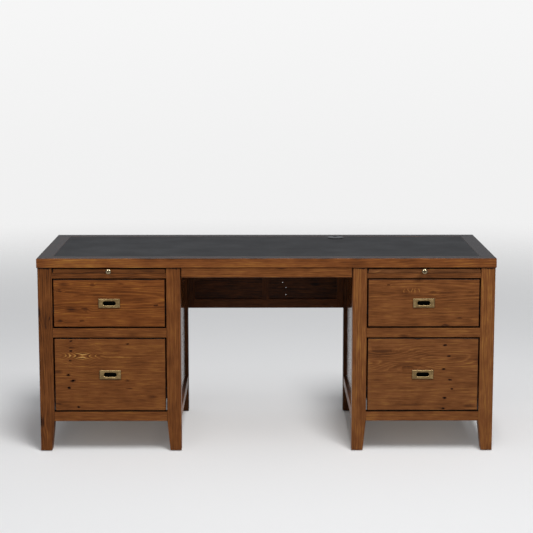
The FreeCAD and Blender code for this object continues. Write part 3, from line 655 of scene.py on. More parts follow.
@dataclass(frozen=True)
class BlackLeather:
    """Black bonded leather, embossed with a fine pebble and waxed: matt, with a grey sheen at a low angle.

    Attributes:
        dark: colour in the pebble's valleys.
        pale: colour on the pebbles, rubbed by use.
        pebble_mm: size of a pebble. About 1 mm on the real hide, drawn coarser so that it shows.
        cloud_mm: size of the worn clouds.
        depth_mm: depth of the embossing.
        roughness: roughness between these clouds and in them, as waxed leather has 0.4 to 0.6.
    """

    dark: str = "#111112"
    pale: str = "#202021"
    pebble_mm: float = 2.6
    cloud_mm: float = 140.0
    depth_mm: float = 0.35
    roughness: Pair = (0.41, 0.53)

    def material(self) -> Material:
        """Makes the finish.

        Returns:
            The material.
        """
        graph = blank("black_leather_pebbled")
        at = graph.where()
        scale, = per_metre(self.pebble_mm)
        pebble = add(graph.tree, "ShaderNodeTexVoronoi", {"Vector": at, "Scale": scale}, feature="SMOOTH_F1")
        crown = graph.fade(pebble.outputs["Distance"], 0.1, 0.7, 1.0, 0.0)
        cloud = graph.noise(at, 4.0, self.cloud_mm)
        pale = graph.number("MULTIPLY", crown, cloud)
        return graph.surface({
            "Base Color": graph.blend(pale, linear(self.dark), linear(self.pale)),
            "Roughness": graph.fade(cloud, 0.3, 0.7, *self.roughness),
            "Normal": graph.bump(crown, self.depth_mm, 0.35), "IOR": 1.5, "Specular IOR Level": 0.25})


@dataclass(frozen=True)
class AntiqueBrass:
    """Cast brass, darkened and rubbed back: olive gold with brown tarnish, bright only on rubbed edges.

    Attributes:
        name: the finish's name.
        bright: colour of the rubbed metal.
        tarnish: colour of the patina.
        recess: colour of the hollow behind a pull's face, near black: partly patina that is never rubbed,
            partly painted shade.
        patina: where the patina starts in the mottling, and where it is full.
        roughness: roughness of the rubbed metal, as satin brass has 0.25 to 0.4.
        tarnish_roughness: roughness of the patina.
        mottle_mm: size of the mottling.
        relief_mm: depth of the mottling.
        deep: the places along Y, in mm, of a pull's face, where the colour of the recess starts, and of its
            eased edge's end, where it is full.
    """

    name: str
    bright: str
    tarnish: str
    recess: str
    patina: Pair
    roughness: float
    tarnish_roughness: float
    mottle_mm: float = 14.0
    relief_mm: float = 0.2
    deep: Pair = (-343.0, -341.8)

    def material(self) -> Material:
        """Makes the finish.

        Returns:
            The material.
        """
        graph = blank(self.name)
        at = graph.where()
        mottle = graph.noise(at, 4.0, self.mottle_mm)
        unrubbed = graph.fade(graph.askew(graph.facing()), 0.0, 1.0, 1.0, 0.0)
        patina = graph.number("MULTIPLY", graph.fade(mottle, *self.patina, 0.0, 1.0), unrubbed)
        colour = graph.blend(patina, linear(self.bright), linear(self.tarnish))
        # The hollow behind the pull's face gets the recess colour: patina, and painted shade.
        inside = graph.fade(graph.parts(at)[Y], *(y * MM for y in self.deep), 0.0, 1.0)
        return graph.surface({
            "Base Color": graph.blend(inside, colour, linear(self.recess)), "Metallic": 1.0,
            "Roughness": graph.fade(patina, 0.0, 1.0, self.roughness, self.tarnish_roughness),
            "Normal": graph.bump(mottle, self.relief_mm, 0.12)})


@dataclass(frozen=True)
class Mottled:
    """A plain finish, mottled between two colours.

    Attributes:
        name: the finish's name.
        dark: colour of most of it.
        pale: colour where it is thin, rubbed or torn.
        mottle_mm: size of the mottling, or its sizes along X, Y and Z.
        detail: how many finer layers the mottling has.
        constants: what the shader's own sockets are set to.
        roughness: roughness of the dark places and of the pale ones, if they differ.
        grain_mm: size and depth of the grain of a moulding tool, if any.
    """

    name: str
    dark: str
    pale: str
    mottle_mm: tuple[float, ...]
    detail: float
    constants: dict[str, float]
    roughness: Pair | None = None
    grain_mm: Pair | None = None

    def material(self) -> Material:
        """Makes the finish.

        Returns:
            The material.
        """
        graph = blank(self.name)
        at = graph.where()
        mottle = graph.noise(at, self.detail, *self.mottle_mm)
        inputs = {"Base Color": graph.blend(mottle, linear(self.dark), linear(self.pale)), **self.constants}
        if self.roughness:
            inputs["Roughness"] = graph.fade(mottle, 0.3, 0.7, *self.roughness)
        if self.grain_mm:
            size_mm, depth_mm = self.grain_mm
            inputs["Normal"] = graph.bump(graph.noise(at, 2.0, size_mm), depth_mm, 0.2)
        return graph.surface(inputs)


class Finishes:
    """Every finish of the desk, made once."""

    def __init__(self) -> None:
        """Makes the finishes that are the same wherever they are used."""
        groups = {"grain": PineGrain().build(), "mark": PineGrain().mark_group()}
        # Old pine, stained brown and wiped with a thin satin lacquer: warm streaks and dark knots.
        self.stained = PineFinish(
            "stained_pine", roughness=0.34, specular=0.1, wear=0.22, relief_mm=0.5, **groups,
            tones=((0.0, "#120805"), (0.2, "#371D0E"), (0.42, "#613718"), (0.58, "#764623"),
                   (0.78, "#94642D"), (1.0, "#B3894E")))
        # Planed pine left bare inside: pale straw with amber late wood.
        self.raw = PineFinish(
            "raw_pine", roughness=0.66, specular=0.4, wear=0.0, relief_mm=0.4, **groups,
            tones=((0.0, "#5A3418"), (0.25, "#9C6B3A"), (0.5, "#C9A06A"), (0.75, "#DDBB88"),
                   (1.0, "#E8CEA2")))
        self.leather = BlackLeather().material()
        self.plate = AntiqueBrass(
            "antique_brass_rubbed", bright="#AD9266", tarnish="#7C6644", recess="#0A0907",
            patina=(0.19, 0.55), roughness=0.34, tarnish_roughness=0.54).material()
        self.knob = AntiqueBrass(
            "antique_brass_polished", bright="#94866C", tarnish="#4E4330", recess="#2A2214",
            patina=(0.25, 0.61), roughness=0.12, tarnish_roughness=0.32).material()
        # Rolled, zinc-plated steel, whose roughness is 0.35 to 0.5: charcoal with a dull shine and faint
        # rolling lines, drawn coarser than the real tenth of a mm. The charcoal is painted shade, for steel
        # that lies deep in the gaps.
        self.steel = Mottled(
            "zinc_plated_rolled_steel", "#2B2C2E", "#4B4C4E", mottle_mm=(1.2, 60.0, 1.2), detail=2.0,
            constants={"Metallic": 1.0}, roughness=(0.35, 0.5)).material()
        # Moulded plastic with the fine grain of its tool, drawn coarser than its 0.2 mm.
        moulded = {"mottle_mm": (18.0,), "detail": 3.0, "grain_mm": (1.1, 0.05)}
        # ABS of the cord grommet: black with a soft gloss, as polished mouldings have 0.15 to 0.25.
        self.abs = Mottled("black_abs_moulded", "#0A0A0B", "#121213", constants={"IOR": 1.54},
                           roughness=(0.15, 0.28), **moulded).material()
        # Nylon of the glides: dark brown and waxy, as grained mouldings have 0.35 to 0.5.
        self.nylon = Mottled("brown_nylon_moulded", "#2A211A", "#3A3028", constants={"IOR": 1.53},
                             roughness=(0.4, 0.53), **moulded).material()
        # The inside of an old nail's hole: torn pine, blackened by rust.
        self.iron_stain = Mottled(
            "iron_blackened_pine", "#0B0604", "#24140B", mottle_mm=(1.5,), detail=3.0,
            constants={"Roughness": 0.85, "IOR": 1.5, "Specular IOR Level": 0.1}).material()


@dataclass
class SubAssembly:
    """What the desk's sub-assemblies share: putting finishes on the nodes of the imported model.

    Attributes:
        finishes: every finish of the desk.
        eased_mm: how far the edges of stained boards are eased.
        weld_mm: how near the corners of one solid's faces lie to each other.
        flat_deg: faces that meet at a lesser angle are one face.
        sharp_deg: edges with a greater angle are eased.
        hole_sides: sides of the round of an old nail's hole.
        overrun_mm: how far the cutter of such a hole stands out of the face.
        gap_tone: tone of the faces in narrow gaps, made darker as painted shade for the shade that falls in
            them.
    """

    finishes: Finishes
    eased_mm: float = 0.6
    weld_mm: float = 0.01
    flat_deg: float = 1.0
    sharp_deg: float = 30.0
    hole_sides: int = 12
    overrun_mm: float = 1.0
    gap_tone: float = -0.45

    def wear(self, name: str, *materials: Material,
             part: Callable[[MeshPolygon], int] | None = None) -> Object:
        """Gives a node its finishes.

        Args:
            name: the node.
            materials: the finishes.
            part: which of them a face gets, if there are several.

        Returns:
            The node's object.
        """
        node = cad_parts[name]
        node.data.materials.clear()
        for material in materials:
            node.data.materials.append(material)
        if part:
            for polygon in node.data.polygons:
                polygon.material_index = part(polygon)
        LOG.info("%s: %s", name, ", ".join(material.name for material in materials))
        return node

    def board(self, name: str, finish: PineFinish, grain: Grain, **more: Any) -> Object:
        """Dresses a node that is one board, with more of the board's fields where they differ."""
        low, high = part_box(name)
        return self.wear(name, finish.material(Board(name, low, high, grain, **more)))

    def boards(self, name: str, finish: PineFinish, grain: Grain | None = None, tones: Sequence[float] = (),
               **more: Any) -> Object:
        """Dresses a node of several boards, each with a figure of its own.

        Args:
            name: the node.
            finish: their finish.
            grain: the axis of their fibres, or None for each one's longest side.
            tones: the boards' own tones from the lowest up, if they differ.
            more: what the boards have in common.

        Returns:
            The node's object.
        """
        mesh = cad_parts[name].data
        solids = self.solids(mesh)
        boxes = []
        for faces in solids:
            corners = [mesh.vertices[v].co for face in faces for v in mesh.polygons[face].vertices]
            boxes.append([Vector(end(c[axis] for c in corners) for axis in range(3)) for end in (min, max)])
        heights = sorted(low.z for low, _ in boxes)
        materials = []
        for number, (low, high) in enumerate(boxes):
            sides = list(high - low)
            if tones:
                more["tone"] = tones[heights.index(low.z)]
            way = grain or Grain(sides.index(max(sides)))
            materials.append(finish.material(Board(f"{name}_{number}", low, high, way, **more)))
        owner = {face: number for number, faces in enumerate(solids) for face in faces}
        return self.wear(name, *materials, part=lambda polygon: owner[polygon.index])

    def framed(self, name: str, finish: PineFinish, axis: int, wide_mm: float,
               **parts: tuple[Grain, float]) -> Object:
        """Dresses a node whose boards at both ends of an axis run another way than those between them.

        Args:
            name: the node.
            finish: its finish.
            axis: the axis.
            wide_mm: how wide the boards at its ends are.
            parts: by name, the grain and tone of the boards at the ends, and of those between them.

        Returns:
            The node's object.
        """
        low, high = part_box(name)
        materials = [finish.material(Board(f"{name}_{part}", low, high, grain, tone=tone))
                     for part, (grain, tone) in parts.items()]

        def between(polygon: MeshPolygon) -> int:
            """Gives 0 for a face at the ends and 1 for one between them."""
            at = polygon.center[axis]
            return int(min(at - low[axis], high[axis] - at) >= wide_mm * MM)

        return self.wear(name, *materials, part=between)

    def solids(self, mesh: Mesh) -> list[list[int]]:
        """Sorts a node's faces by the solid that they bound.

        Args:
            mesh: the node's mesh, whose faces don't share vertices across sharp edges.

        Returns:
            The numbers of the faces of each solid.
        """
        per_step, = per_metre(self.weld_mm)
        spots: dict[tuple[int, ...], int] = {}
        leader: list[int] = []

        def top(number: int) -> int:
            """The leading spot of a spot's group."""
            while leader[number] != number:
                number = leader[number]
            return number

        first: list[int] = []
        for polygon in mesh.polygons:
            tops = []
            for vertex in polygon.vertices:
                key = tuple(round(c * per_step) for c in mesh.vertices[vertex].co)
                if key not in spots:
                    spots[key] = len(leader)
                    leader.append(len(leader))
                tops.append(top(spots[key]))
            for other in tops:
                leader[other] = tops[0]
            first.append(tops[0])
        groups: dict[int, list[int]] = {}
        for face, spot in enumerate(first):
            groups.setdefault(top(spot), []).append(face)
        return list(groups.values())

    def ease(self, node: Object) -> None:
        """Rounds a node's sharp edges as a plane and wear would, and smooths its shading.

        Args:
            node: the node's object.
        """
        flat, sharp = math.radians(self.flat_deg), math.radians(self.sharp_deg)
        modify(node, "WELD", merge_threshold=self.weld_mm * MM)
        modify(node, "DECIMATE", decimate_type="DISSOLVE", angle_limit=flat, delimit={"MATERIAL"})
        modify(node, "BEVEL", width=self.eased_mm * MM, segments=2, limit_method="ANGLE", angle_limit=sharp)
        modify(node, "WEIGHTED_NORMAL", keep_sharp=True)

    def punch(self, node: Object, body: str, spots: Iterable[Triple], hole_mm: Triple,
              stretch: float = 1.0) -> None:
        """Cuts old nail holes into the front of an eased board with a hidden cutter.

        Args:
            node: the board's object.
            body: the body that the cutter rides on.
            spots: the holes' places on the face in mm, and their sizes against the usual one.
            hole_mm: a hole's diameter at the face and at its bottom, and its depth.
            stretch: how much longer a hole is along X.
        """
        wide, narrow, depth = (size * MM for size in hole_mm)
        overrun = self.overrun_mm * MM
        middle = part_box(node.name)[0].y + (depth - overrun) / 2
        turn = Matrix.Rotation(math.radians(90), 4, "X") @ Matrix.Diagonal((stretch, 1, 1, 1))
        made = bmesh.new()
        for x, z, size in spots:
            bmesh.ops.create_cone(
                made, cap_ends=True, segments=self.hole_sides, radius1=narrow / 2 * size,
                radius2=wide / 2 * size, depth=depth + overrun,
                matrix=Matrix.Translation((x * MM, middle, z * MM)) @ turn)
        cutter = new_object(f"{node.name}_nail_holes", made, self.finishes.iron_stain)
        cutter.hide_render = True
        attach(cutter, body)
        hole = modify(node, "BOOLEAN", operation="DIFFERENCE", solver="EXACT", object=cutter,
                      material_mode="TRANSFER")
        # The holes come before the last modifier, which smooths the shading.
        node.modifiers.move(node.modifiers.find(hole.name), len(node.modifiers) - 2)


@dataclass
class Desktop(SubAssembly):
    """The top: four mitred frame boards round the leather, its core, and the cord grommet.

    Attributes:
        pale_streaks: paler patches seen in the front edge, on the left.
    """

    pale_streaks: tuple[Mark, ...] = (
        Mark(MarkKind.PALE_STREAK, -764, -345, 1.1), Mark(MarkKind.PALE_STREAK, -540, -345, 0.7))

    # Painted shade: the frame's upper faces are made darker than its edges, each edge by its own amount,
    # standing for a top that gets little light.
    UPPER_TONES = {"front": -0.5, "back": -0.62, "left": -0.58, "right": -0.65}

    def dress(self) -> None:
        """Dresses the top's nodes."""
        for edge, upper_tone in self.UPPER_TONES.items():
            grain = Grain.ACROSS_DESK if edge in ("front", "back") else Grain.FRONT_TO_BACK
            rubbed, marks = (1.0, self.pale_streaks) if edge == "front" else (0.0, ())
            self.ease(self.board(
                f"top_frame_{edge}", self.finishes.stained, grain, tone=0.03, warmth=1.04, gloss=0.19,
                face_tone=(0.0, 0.0, upper_tone), rubbed=rubbed, redraw=1, marks=marks))
        self.board("top_core", self.finishes.raw, Grain.ACROSS_DESK)
        self.wear("leather_inset", self.finishes.leather)
        for name in ("grommet_liner", "grommet_cap"):
            self.wear(name, self.finishes.abs)


@dataclass
class Pedestal(SubAssembly):
    """One pedestal's case: four tapered legs, the rails between them, and the panels in their grooves.

    Attributes:
        side: which pedestal.
        leg_knots: knots seen on the left front leg.
        under_top_mm: height of the painted shade band on the front legs, which stands for the shadow of the
            top's overhang.
    """

    side: Side = Side.LEFT
    leg_knots: tuple[Mark, ...] = (
        Mark(MarkKind.RESIN_SPOT, 510, -881, 0.8), Mark(MarkKind.RESIN_SPOT, 543, -868, 0.7))
    under_top_mm: float = 748.0

    # The right pedestal's boards are made cooler: painted sheen of the key light on that side.
    WARMTH = {"left": 1.0, "right": 0.96}
    # The rails' tones from the lowest up. The top rail, under the tray, is darker, partly as painted shade
    # from the top.
    RAIL_TONES = (0.03, 0.0, -0.1)
    # The rear inner legs are toned darker as painted shade, deep in the kneehole; the other legs differ in
    # tone.
    LEG_TONES = {"left_front_outer": -0.1, "right_front_outer": 0.03, "right_front_inner": 0.05,
                 "left_rear_inner": -0.12, "right_rear_inner": -0.12}
    # Painted shade: the faces across X of the rear inner legs, deep in the kneehole, are darker.
    KNEEHOLE_TONES = {"rear_inner": -0.2}

    def dress(self) -> None:
        """Dresses the case's nodes."""
        side, stained, warmth = self.side.value, self.finishes.stained, self.WARMTH[self.side.value]
        for corner in ("front_outer", "front_inner", "rear_outer", "rear_inner"):
            name = f"{side}_leg_{corner}"
            marks = self.leg_knots if (side, corner) == ("left", "front_outer") else ()
            if corner.startswith("front"):
                middle = sum(end.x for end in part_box(name)) / 2 / MM
                # Painted shade across the leg's front, under the top's overhang.
                marks = (*marks, Mark(MarkKind.GRIME, self.under_top_mm, middle))
            self.ease(self.board(
                name, stained, Grain.UPRIGHT, marks=marks, warmth=warmth,
                tone=self.LEG_TONES.get(f"{side}_{corner}", 0.0),
                face_tone=(self.KNEEHOLE_TONES.get(corner, 0.0), 0.0, 0.0)))
        # The rails' faces across Z, in the gaps above and below the drawers, are darkened as painted shade.
        self.ease(self.boards(f"{side}_front_rails", stained, Grain.ACROSS_DESK, tones=self.RAIL_TONES,
                              face_tone=(0.0, 0.0, self.gap_tone), warmth=warmth))
        self.ease(self.boards(f"{side}_panel_rails", stained))
        for face in ("back", "inner", "outer"):
            self.board(f"{side}_{face}_panel", stained, Grain.UPRIGHT, gloss=0.24)


@dataclass
class Drawer(SubAssembly):
    """One drawer: its front with knots and old nail holes, dovetailed box, flush pull and slides.

    Attributes:
        side: which pedestal.
        level: which drawer of it.
        nail_mm: diameter of an old nail's hole at the face and at its bottom, and its depth.
        nail_stretch: how much longer a hole is along the grain, where the fibres tore.
        board_mm: thickness of the box's boards.
    """

    side: Side = Side.LEFT
    level: Level = Level.UPPER
    nail_mm: Triple = (6.6, 4.0, 7.0)
    nail_stretch: float = 1.35
    board_mm: float = 14.0

    # Tone and warmth of each front.
    SHADES = {"left_upper": (-0.02, 1.09), "left_lower": (0.03, 1.0),
              "right_upper": (-0.01, 0.97), "right_lower": (0.01, 0.94)}
    HEARTS = {"left_lower": (392.0, 8.0), "right_lower": (380.0, 30.0), "right_upper": (655.0, 40.0)}
    # Places across the desk and upwards in mm, and sizes against the usual one.
    NAILS = {
        "left_lower": ((-783, 453, 0.7), (-784, 412, 0.8), (-785, 372, 0.7), (-796, 314, 1.2),
                       (-778, 290, 1.3), (-794, 261, 1.2), (-757, 182, 0.9), (-555, 441, 0.7)),
        "right_lower": ((715, 435, 1.0), (732, 390, 0.8), (712, 337, 1.0), (737, 292, 0.9),
                        (746, 255, 0.8), (718, 218, 1.0), (711, 174, 0.9)),
    }
    MARKS = {
        "left_lower": {
            MarkKind.FLAME_SWELL: ((-740, 392),),
            MarkKind.FLAME: ((-742, 392),),
            MarkKind.PALE_STREAK: ((-618, 402, 0.5), (-606, 386, 0.6)),
            MarkKind.KNOT: ((-556, 293, 0.8),),
            MarkKind.RESIN_SPOT: ((-835, 195), (-550, 258), (-784, 425)),
        },
        "left_upper": {
            MarkKind.KNOT: ((-694, 680, 0.8), (-826, 656), (-724, 583, 1.1), (-825, 535),
                            (-737, 535, 0.8), (-441, 599, 0.6)),
            MarkKind.RESIN_SPOT: ((-579, 684),),
            MarkKind.PALE_STREAK: ((-700, 633, 0.8), (-690, 548, 0.8)),
        },
        "right_lower": {
            MarkKind.DARK_FLAME: ((460, 400), (560, 352, 0.7)),
        },
        "right_upper": {
            MarkKind.PALE_TICK: ((548, 655, 0.8), (565, 656), (578, 656), (591, 656), (606, 658, 0.8)),
            MarkKind.PALE_STREAK: ((650, 640, 0.7), (815, 656, 0.35), (702, 662, 0.25)),
            MarkKind.RESIN_SPOT: ((664, 650, 1.3), (713, 517, 1.2), (773, 545)),
            MarkKind.KNOT: ((487, 679, 0.6),),
        },
    }

    def dress(self) -> None:
        """Dresses the drawer's nodes."""
        start = f"{self.side.value}_{self.level.value}"
        nails = self.NAILS.get(start, ())
        tone, warmth = self.SHADES[start]
        marks = {**self.MARKS[start], MarkKind.NAIL_STAIN: nails}
        # The front's faces across X and Z, inside the gaps round it, are darkened as painted shade.
        front = self.board(
            f"{start}_drawer_front", self.finishes.stained, Grain.ACROSS_DESK, tone=tone, warmth=warmth,
            face_tone=(self.gap_tone, 0.0, self.gap_tone), heart=self.HEARTS.get(start),
            marks=tuple(Mark(kind, *spot) for kind, spots in marks.items() for spot in spots))
        self.ease(front)
        if nails:
            self.punch(front, f"{start}_drawer", nails, self.nail_mm, self.nail_stretch)
        self.framed(f"{start}_drawer_box", self.finishes.raw, X, self.board_mm,
                    sides=(Grain.FRONT_TO_BACK, 0.0), ends=(Grain.ACROSS_DESK, 0.0))
        self.wear(f"{start}_drawer_pull", self.finishes.plate)
        for name in ("drawer_runners", "slide_middles"):
            self.wear(f"{start}_{name}", self.finishes.steel)
        if self.level is Level.LOWER:
            self.wear(f"{self.side.value}_file_rails", self.finishes.steel)


@dataclass
class WritingTray(SubAssembly):
    """One pull-out writing tray and its turned brass knob.

    Attributes:
        side: which pedestal.
        profile: the knob's turning, as pairs of radius and depth behind its crown in mm.
        stud_mm: radius of the stud in the tray's edge.
        steps: sides of the knob's round.
        merge_mm: corners of the knob that lie nearer to each other are one.
    """

    side: Side = Side.LEFT
    profile: tuple[Pair, ...] = (
        (0.0, 0.0), (2.6, 0.12), (5.2, 0.75), (7.6, 1.95), (9.6, 3.6), (11.0, 5.6), (11.75, 7.6),
        (11.7, 9.2), (11.0, 11.0), (9.6, 12.9), (7.8, 14.5), (6.1, 15.7), (5.2, 16.8), (4.9, 18.4),
        (5.1, 20.4), (5.7, 22.0), (6.9, 23.0), (7.7, 23.6), (8.0, 24.4), (8.0, 25.99))
    stud_mm: float = 2.0
    steps: int = 36
    merge_mm: float = 0.002

    # Tone and warmth of each tray. Both are toned darker, partly as painted shade from the top above them.
    SHADES = {"left": (-0.1, 0.97), "right": (-0.02, 0.88)}

    def dress(self) -> None:
        """Dresses the tray and replaces the plain knob by a smooth one."""
        side = self.side.value
        low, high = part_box(f"{side}_tray")
        # Painted shade in the gaps at the tray's ends.
        ends = tuple(Mark(MarkKind.GRIME, end / MM, low.y / MM) for end in (low.x, high.x))
        tone, warmth = self.SHADES[side]
        # Its faces across Z, in the gap under the top, are darkened as painted shade.
        self.ease(self.board(f"{side}_tray", self.finishes.stained, Grain.ACROSS_DESK, tone=tone,
                             warmth=warmth, face_tone=(0.0, 0.0, -0.3), marks=ends))
        self.turn_knob(f"{side}_tray_knob", f"{side}_writing_tray")

    def turn_knob(self, node: str, body: str) -> None:
        """Turns the knob's profile round its axis.

        Args:
            node: the node that the knob replaces.
            body: the body that it rides on.
        """
        low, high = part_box(node)
        middle = (low + high) / 2
        end = (high.y - low.y) / MM
        stud = ((self.stud_mm, self.profile[-1][1]), (self.stud_mm, end), (0.0, end))
        made = bmesh.new()
        points = [Vector((middle.x + r * MM, low.y + y * MM, middle.z)) for r, y in (*self.profile, *stud)]
        line = [made.verts.new(point) for point in points]
        edges = [made.edges.new(pair) for pair in zip(line, line[1:])]
        bmesh.ops.spin(made, geom=line + edges, axis=(0, 1, 0), cent=(middle.x, 0, middle.z),
                       angle=math.tau, steps=self.steps, use_merge=True)
        bmesh.ops.remove_doubles(made, verts=made.verts[:], dist=self.merge_mm * MM)
        for face in made.faces:
            face.smooth = True
        knob = new_object(f"{node}_turned", made, self.finishes.knob)
        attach(knob, body)
        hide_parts(node)
        LOG.info("%s: turned brass knob", node)


@dataclass
class ModestyPanel(SubAssembly):
    """The framed panel behind the kneehole, and the apron in front of it.

    Attributes:
        rail_mm: height of the frame's rails.
        tones: tone of the panels, the rails and the stiles, darker than the front as painted shade deep in the
            kneehole.
        through_mm: diameter of the old nail holes through the right-hand panel at both faces, and depth.
        through: their places on the face in mm, and their sizes against the usual one.
    """

    rail_mm: float = 30.0
    tones: Triple = (-0.27, -0.07, -0.18)
    through_mm: Triple = (4.4, 4.4, 30.0)
    through: tuple[Triple, ...] = ((74.0, 579.0, 1.0), (89.0, 556.0, 0.9), (89.0, 524.0, 1.0))

    def dress(self) -> None:
        """Dresses the frame, the panels and the apron."""
        stained = self.finishes.stained
        panels_tone, rails_tone, stiles_tone = self.tones
        self.ease(self.board("center_apron", stained, Grain.ACROSS_DESK, tone=0.02))
        panels = self.boards("modesty_panels", stained, Grain.ACROSS_DESK, tone=panels_tone)
        self.ease(panels)
        self.punch(panels, "root", self.through, self.through_mm)
        self.framed("modesty_frame", stained, Z, self.rail_mm,
                    rails=(Grain.ACROSS_DESK, rails_tone), stiles=(Grain.UPRIGHT, stiles_tone))


@dataclass
class Fittings(SubAssembly):
    """What the case carries out of sight: runners, battens, slides, bolts and the glides."""

    def dress(self) -> None:
        """Dresses the fittings' nodes."""
        for name in ("tray_runners", "slide_battens"):
            self.boards(name, self.finishes.raw)
        for name in ("slide_cabinet_members", "assembly_bolts"):
            self.wear(name, self.finishes.steel)
        self.wear("leg_glides", self.finishes.nylon)


@dataclass(frozen=True)
class SeamlessPaper:
    """The floor's matt paper, which melts into the background.

    Attributes:
        colour: its colour for the camera.
        bounce: its colour for the light that it throws on the desk. It is darker, so that little of the
            desk's light comes from below.
        fade: how far from the middle it starts and ends to melt, in metres.
    """

    colour: str = "#EFEFEF"
    bounce: str = "#ADADAD"
    fade: Pair = (2.2, 7.5)

    def material(self) -> Material:
        """Makes the finish.

        Returns:
            The material.
        """
        graph = blank("matt_seamless_paper")
        away = graph.vector("LENGTH", graph.where())
        melted = graph.fade(away, *self.fade, 0.0, 1.0, kind="SMOOTHSTEP")
        bounced = add(graph.tree, "ShaderNodeLightPath").outputs["Is Diffuse Ray"]
        colour = graph.blend(bounced, linear(self.colour), linear(self.bounce))
        paper = add(graph.tree, "ShaderNodeBsdfPrincipled", {
            "Base Color": colour, "Roughness": 0.9, "IOR": 1.5, "Specular IOR Level": 0.0})
        clear = add(graph.tree, "ShaderNodeBsdfTransparent")
        return graph.output(add(graph.tree, "ShaderNodeMixShader", {0: melted, 1: paper, 2: clear}))


@dataclass(frozen=True)
class SoftBox:
    """A soft box: its place, where it points, its sides, its power in watts, and what it lights."""

    name: str
    place: Triple
    aim: Triple
    sides: Pair
    watts: float
    falls: Falls = Falls.ON_DESK


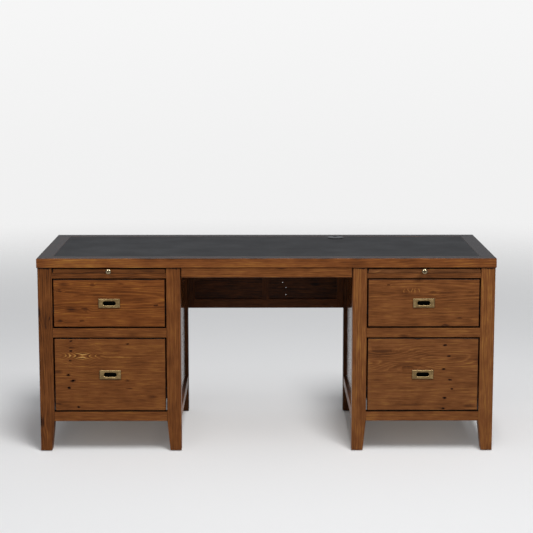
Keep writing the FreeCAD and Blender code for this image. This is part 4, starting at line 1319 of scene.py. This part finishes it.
@dataclass
class Studio:
    """A pale floor under a soft dome, soft boxes, and the camera where the photograph was taken.

    Attributes:
        lens_mm: the camera's lens on a 36 mm sensor.
        eye: the camera's place.
        tilt: the camera's turn in degrees.
        floor_reach: radius of the floor.
        floor_sides: sides of its round.
        floor_drop_mm: how far it lies below the desk's feet.
        boxes: the soft boxes.
        dome: light of the dome, as pairs of the sine of its height and its level.
        mirrored: what a glossy face mirrors of it, in the same way.
        cool: tint of both.
        background: what the camera sees behind the floor, in the same way.
    """

    lens_mm: float = 106.4
    eye: Triple = (-0.031, -6.527, 1.712)
    tilt: Triple = (81.2, 0.0, -0.284)
    floor_reach: float = 9.0
    floor_sides: int = 96
    floor_drop_mm: float = 0.4
    boxes: tuple[SoftBox, ...] = (
        SoftBox("key_box", (2.6, -2.2, 3.9), (0.1, -0.3, 0.45), (1.6, 1.6), 190.0),
        SoftBox("fill_box", (-2.4, -2.4, 3.8), (-0.1, -0.3, 0.45), (1.6, 1.6), 115.0),
        SoftBox("strip_box", (0.0, -0.95, 3.5), (0.0, -0.5, 0.5), (3.4, 0.6), 45.0),
        SoftBox("floor_box", (1.0, -3.0, 7.0), (0.0, 6.0, 0.0), (2.0, 4.6), 400.0, Falls.ON_FLOOR),
        SoftBox("shadow_box", (0.0, -3.0, 6.0), (0.0, 0.0, 0.0), (8.0, 4.0), 95.0, Falls.UNDER_DESK),
    )
    dome: tuple[Pair, ...] = ((-1.0, 0.22), (-0.02, 0.22), (0.06, 0.2), (0.5, 0.22), (1.0, 0.28))
    mirrored: tuple[Pair, ...] = ((-1.0, 0.84), (-0.02, 0.84), (0.06, 0.34), (0.5, 0.30), (1.0, 0.35))
    cool: Triple = (0.97, 1.0, 1.05)
    background: tuple[Pair, ...] = ((-1.0, 0.85), (-0.16, 0.868), (-0.08, 0.885), (0.006, 0.922))

    SIDES = ("left_", "right_")
    BACKS = ("back_panel", "panel_rails", "leg_rear_inner", "leg_rear_outer")

    def build(self) -> None:
        """Builds the floor, the dome, the lights and the camera."""
        floor = self.lay_floor()
        self.raise_dome()
        for box in self.boxes:
            self.hang(box, floor)
        self.set_camera()
        bpy.context.scene.view_settings.view_transform = "Standard"

    def lay_floor(self) -> Object:
        """Lays a round floor that melts into the background.

        Returns:
            The floor.
        """
        made = bmesh.new()
        bmesh.ops.create_circle(made, cap_ends=True, segments=self.floor_sides, radius=self.floor_reach,
                                matrix=Matrix.Translation((0, 0, -self.floor_drop_mm * MM)))
        floor = new_object("studio_floor", made, SeamlessPaper().material())
        LOG.info("studio floor")
        return floor

    def raise_dome(self) -> None:
        """Makes the dome's light, and the plain background that the camera sees instead of it."""
        world = bpy.data.worlds.new("studio_dome")
        bpy.context.scene.world = world
        world.use_nodes = True
        tree = world.node_tree
        tree.nodes.clear()
        graph = Graph(tree)
        way = add(tree, "ShaderNodeTexCoord").outputs["Generated"]
        share = graph.fade(graph.parts(way)[Z], -1.0, 1.0, 0.0, 1.0)
        ray = add(tree, "ShaderNodeLightPath").outputs
        shader = None
        for levels, tint, seen in ((self.dome, self.cool, None), (self.mirrored, self.cool, "Is Glossy Ray"),
                                   (self.background, (1.0, 1.0, 1.0), "Is Camera Ray")):
            stops = [((sine + 1) / 2, (*(level * part for part in tint), 1.0)) for sine, level in levels]
            light = add(tree, "ShaderNodeBackground", {"Color": graph.ramp(share, stops), "Strength": 1.0})
            if seen is not None:
                light = add(tree, "ShaderNodeMixShader", {0: ray[seen], 1: shader, 2: light})
            shader = light
        add(tree, "ShaderNodeOutputWorld", {"Surface": shader})

    def hang(self, box: SoftBox, floor: Object) -> None:
        """Hangs a soft box.

        Args:
            box: its place, aim, sides, power and what it lights.
            floor: the studio's floor.
        """
        light = bpy.data.lights.new(box.name, "AREA")
        light.shape = "RECTANGLE"
        light.size, light.size_y = box.sides
        light.energy = box.watts
        lamp = bpy.data.objects.new(box.name, light)
        bpy.context.scene.collection.objects.link(lamp)
        lamp.location = box.place
        lamp.rotation_euler = (Vector(box.aim) - Vector(box.place)).to_track_quat("-Z", "Y").to_euler()
        on_desk = box.falls is Falls.ON_DESK
        lit = bpy.data.collections.new(f"{box.name}_lights")
        lit.objects.link(floor)
        lit.collection_objects[0].light_linking.link_state = "EXCLUDE" if on_desk else "INCLUDE"
        lamp.light_linking.receiver_collection = lit
        if on_desk:
            return
        shades = bpy.data.collections.new(f"{box.name}_shades")
        for name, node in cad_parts.items():
            if name.startswith(self.SIDES) and (box.falls is Falls.ON_FLOOR or name.endswith(self.BACKS)):
                shades.objects.link(node)
        lamp.light_linking.blocker_collection = shades

    def set_camera(self) -> None:
        """Sets the camera up."""
        camera = bpy.data.objects.new("camera", bpy.data.cameras.new("camera"))
        bpy.context.scene.collection.objects.link(camera)
        camera.data.lens = self.lens_mm
        camera.location = self.eye
        camera.rotation_euler = [math.radians(angle) for angle in self.tilt]
        bpy.context.scene.camera = camera


def main() -> None:
    """Builds the studio and dresses the desk, one sub-assembly after the other."""
    logging.basicConfig(level=logging.INFO, format="%(name)s %(message)s")
    Studio().build()
    finishes = Finishes()
    assemblies: Sequence[SubAssembly] = (
        Desktop(finishes),
        *(Pedestal(finishes, side=side) for side in Side),
        *(Drawer(finishes, side=side, level=level) for side in Side for level in Level),
        *(WritingTray(finishes, side=side) for side in Side),
        ModestyPanel(finishes),
        Fittings(finishes),
    )
    for assembly in assemblies:
        assembly.dress()


if __name__ == "__main__":
    main()
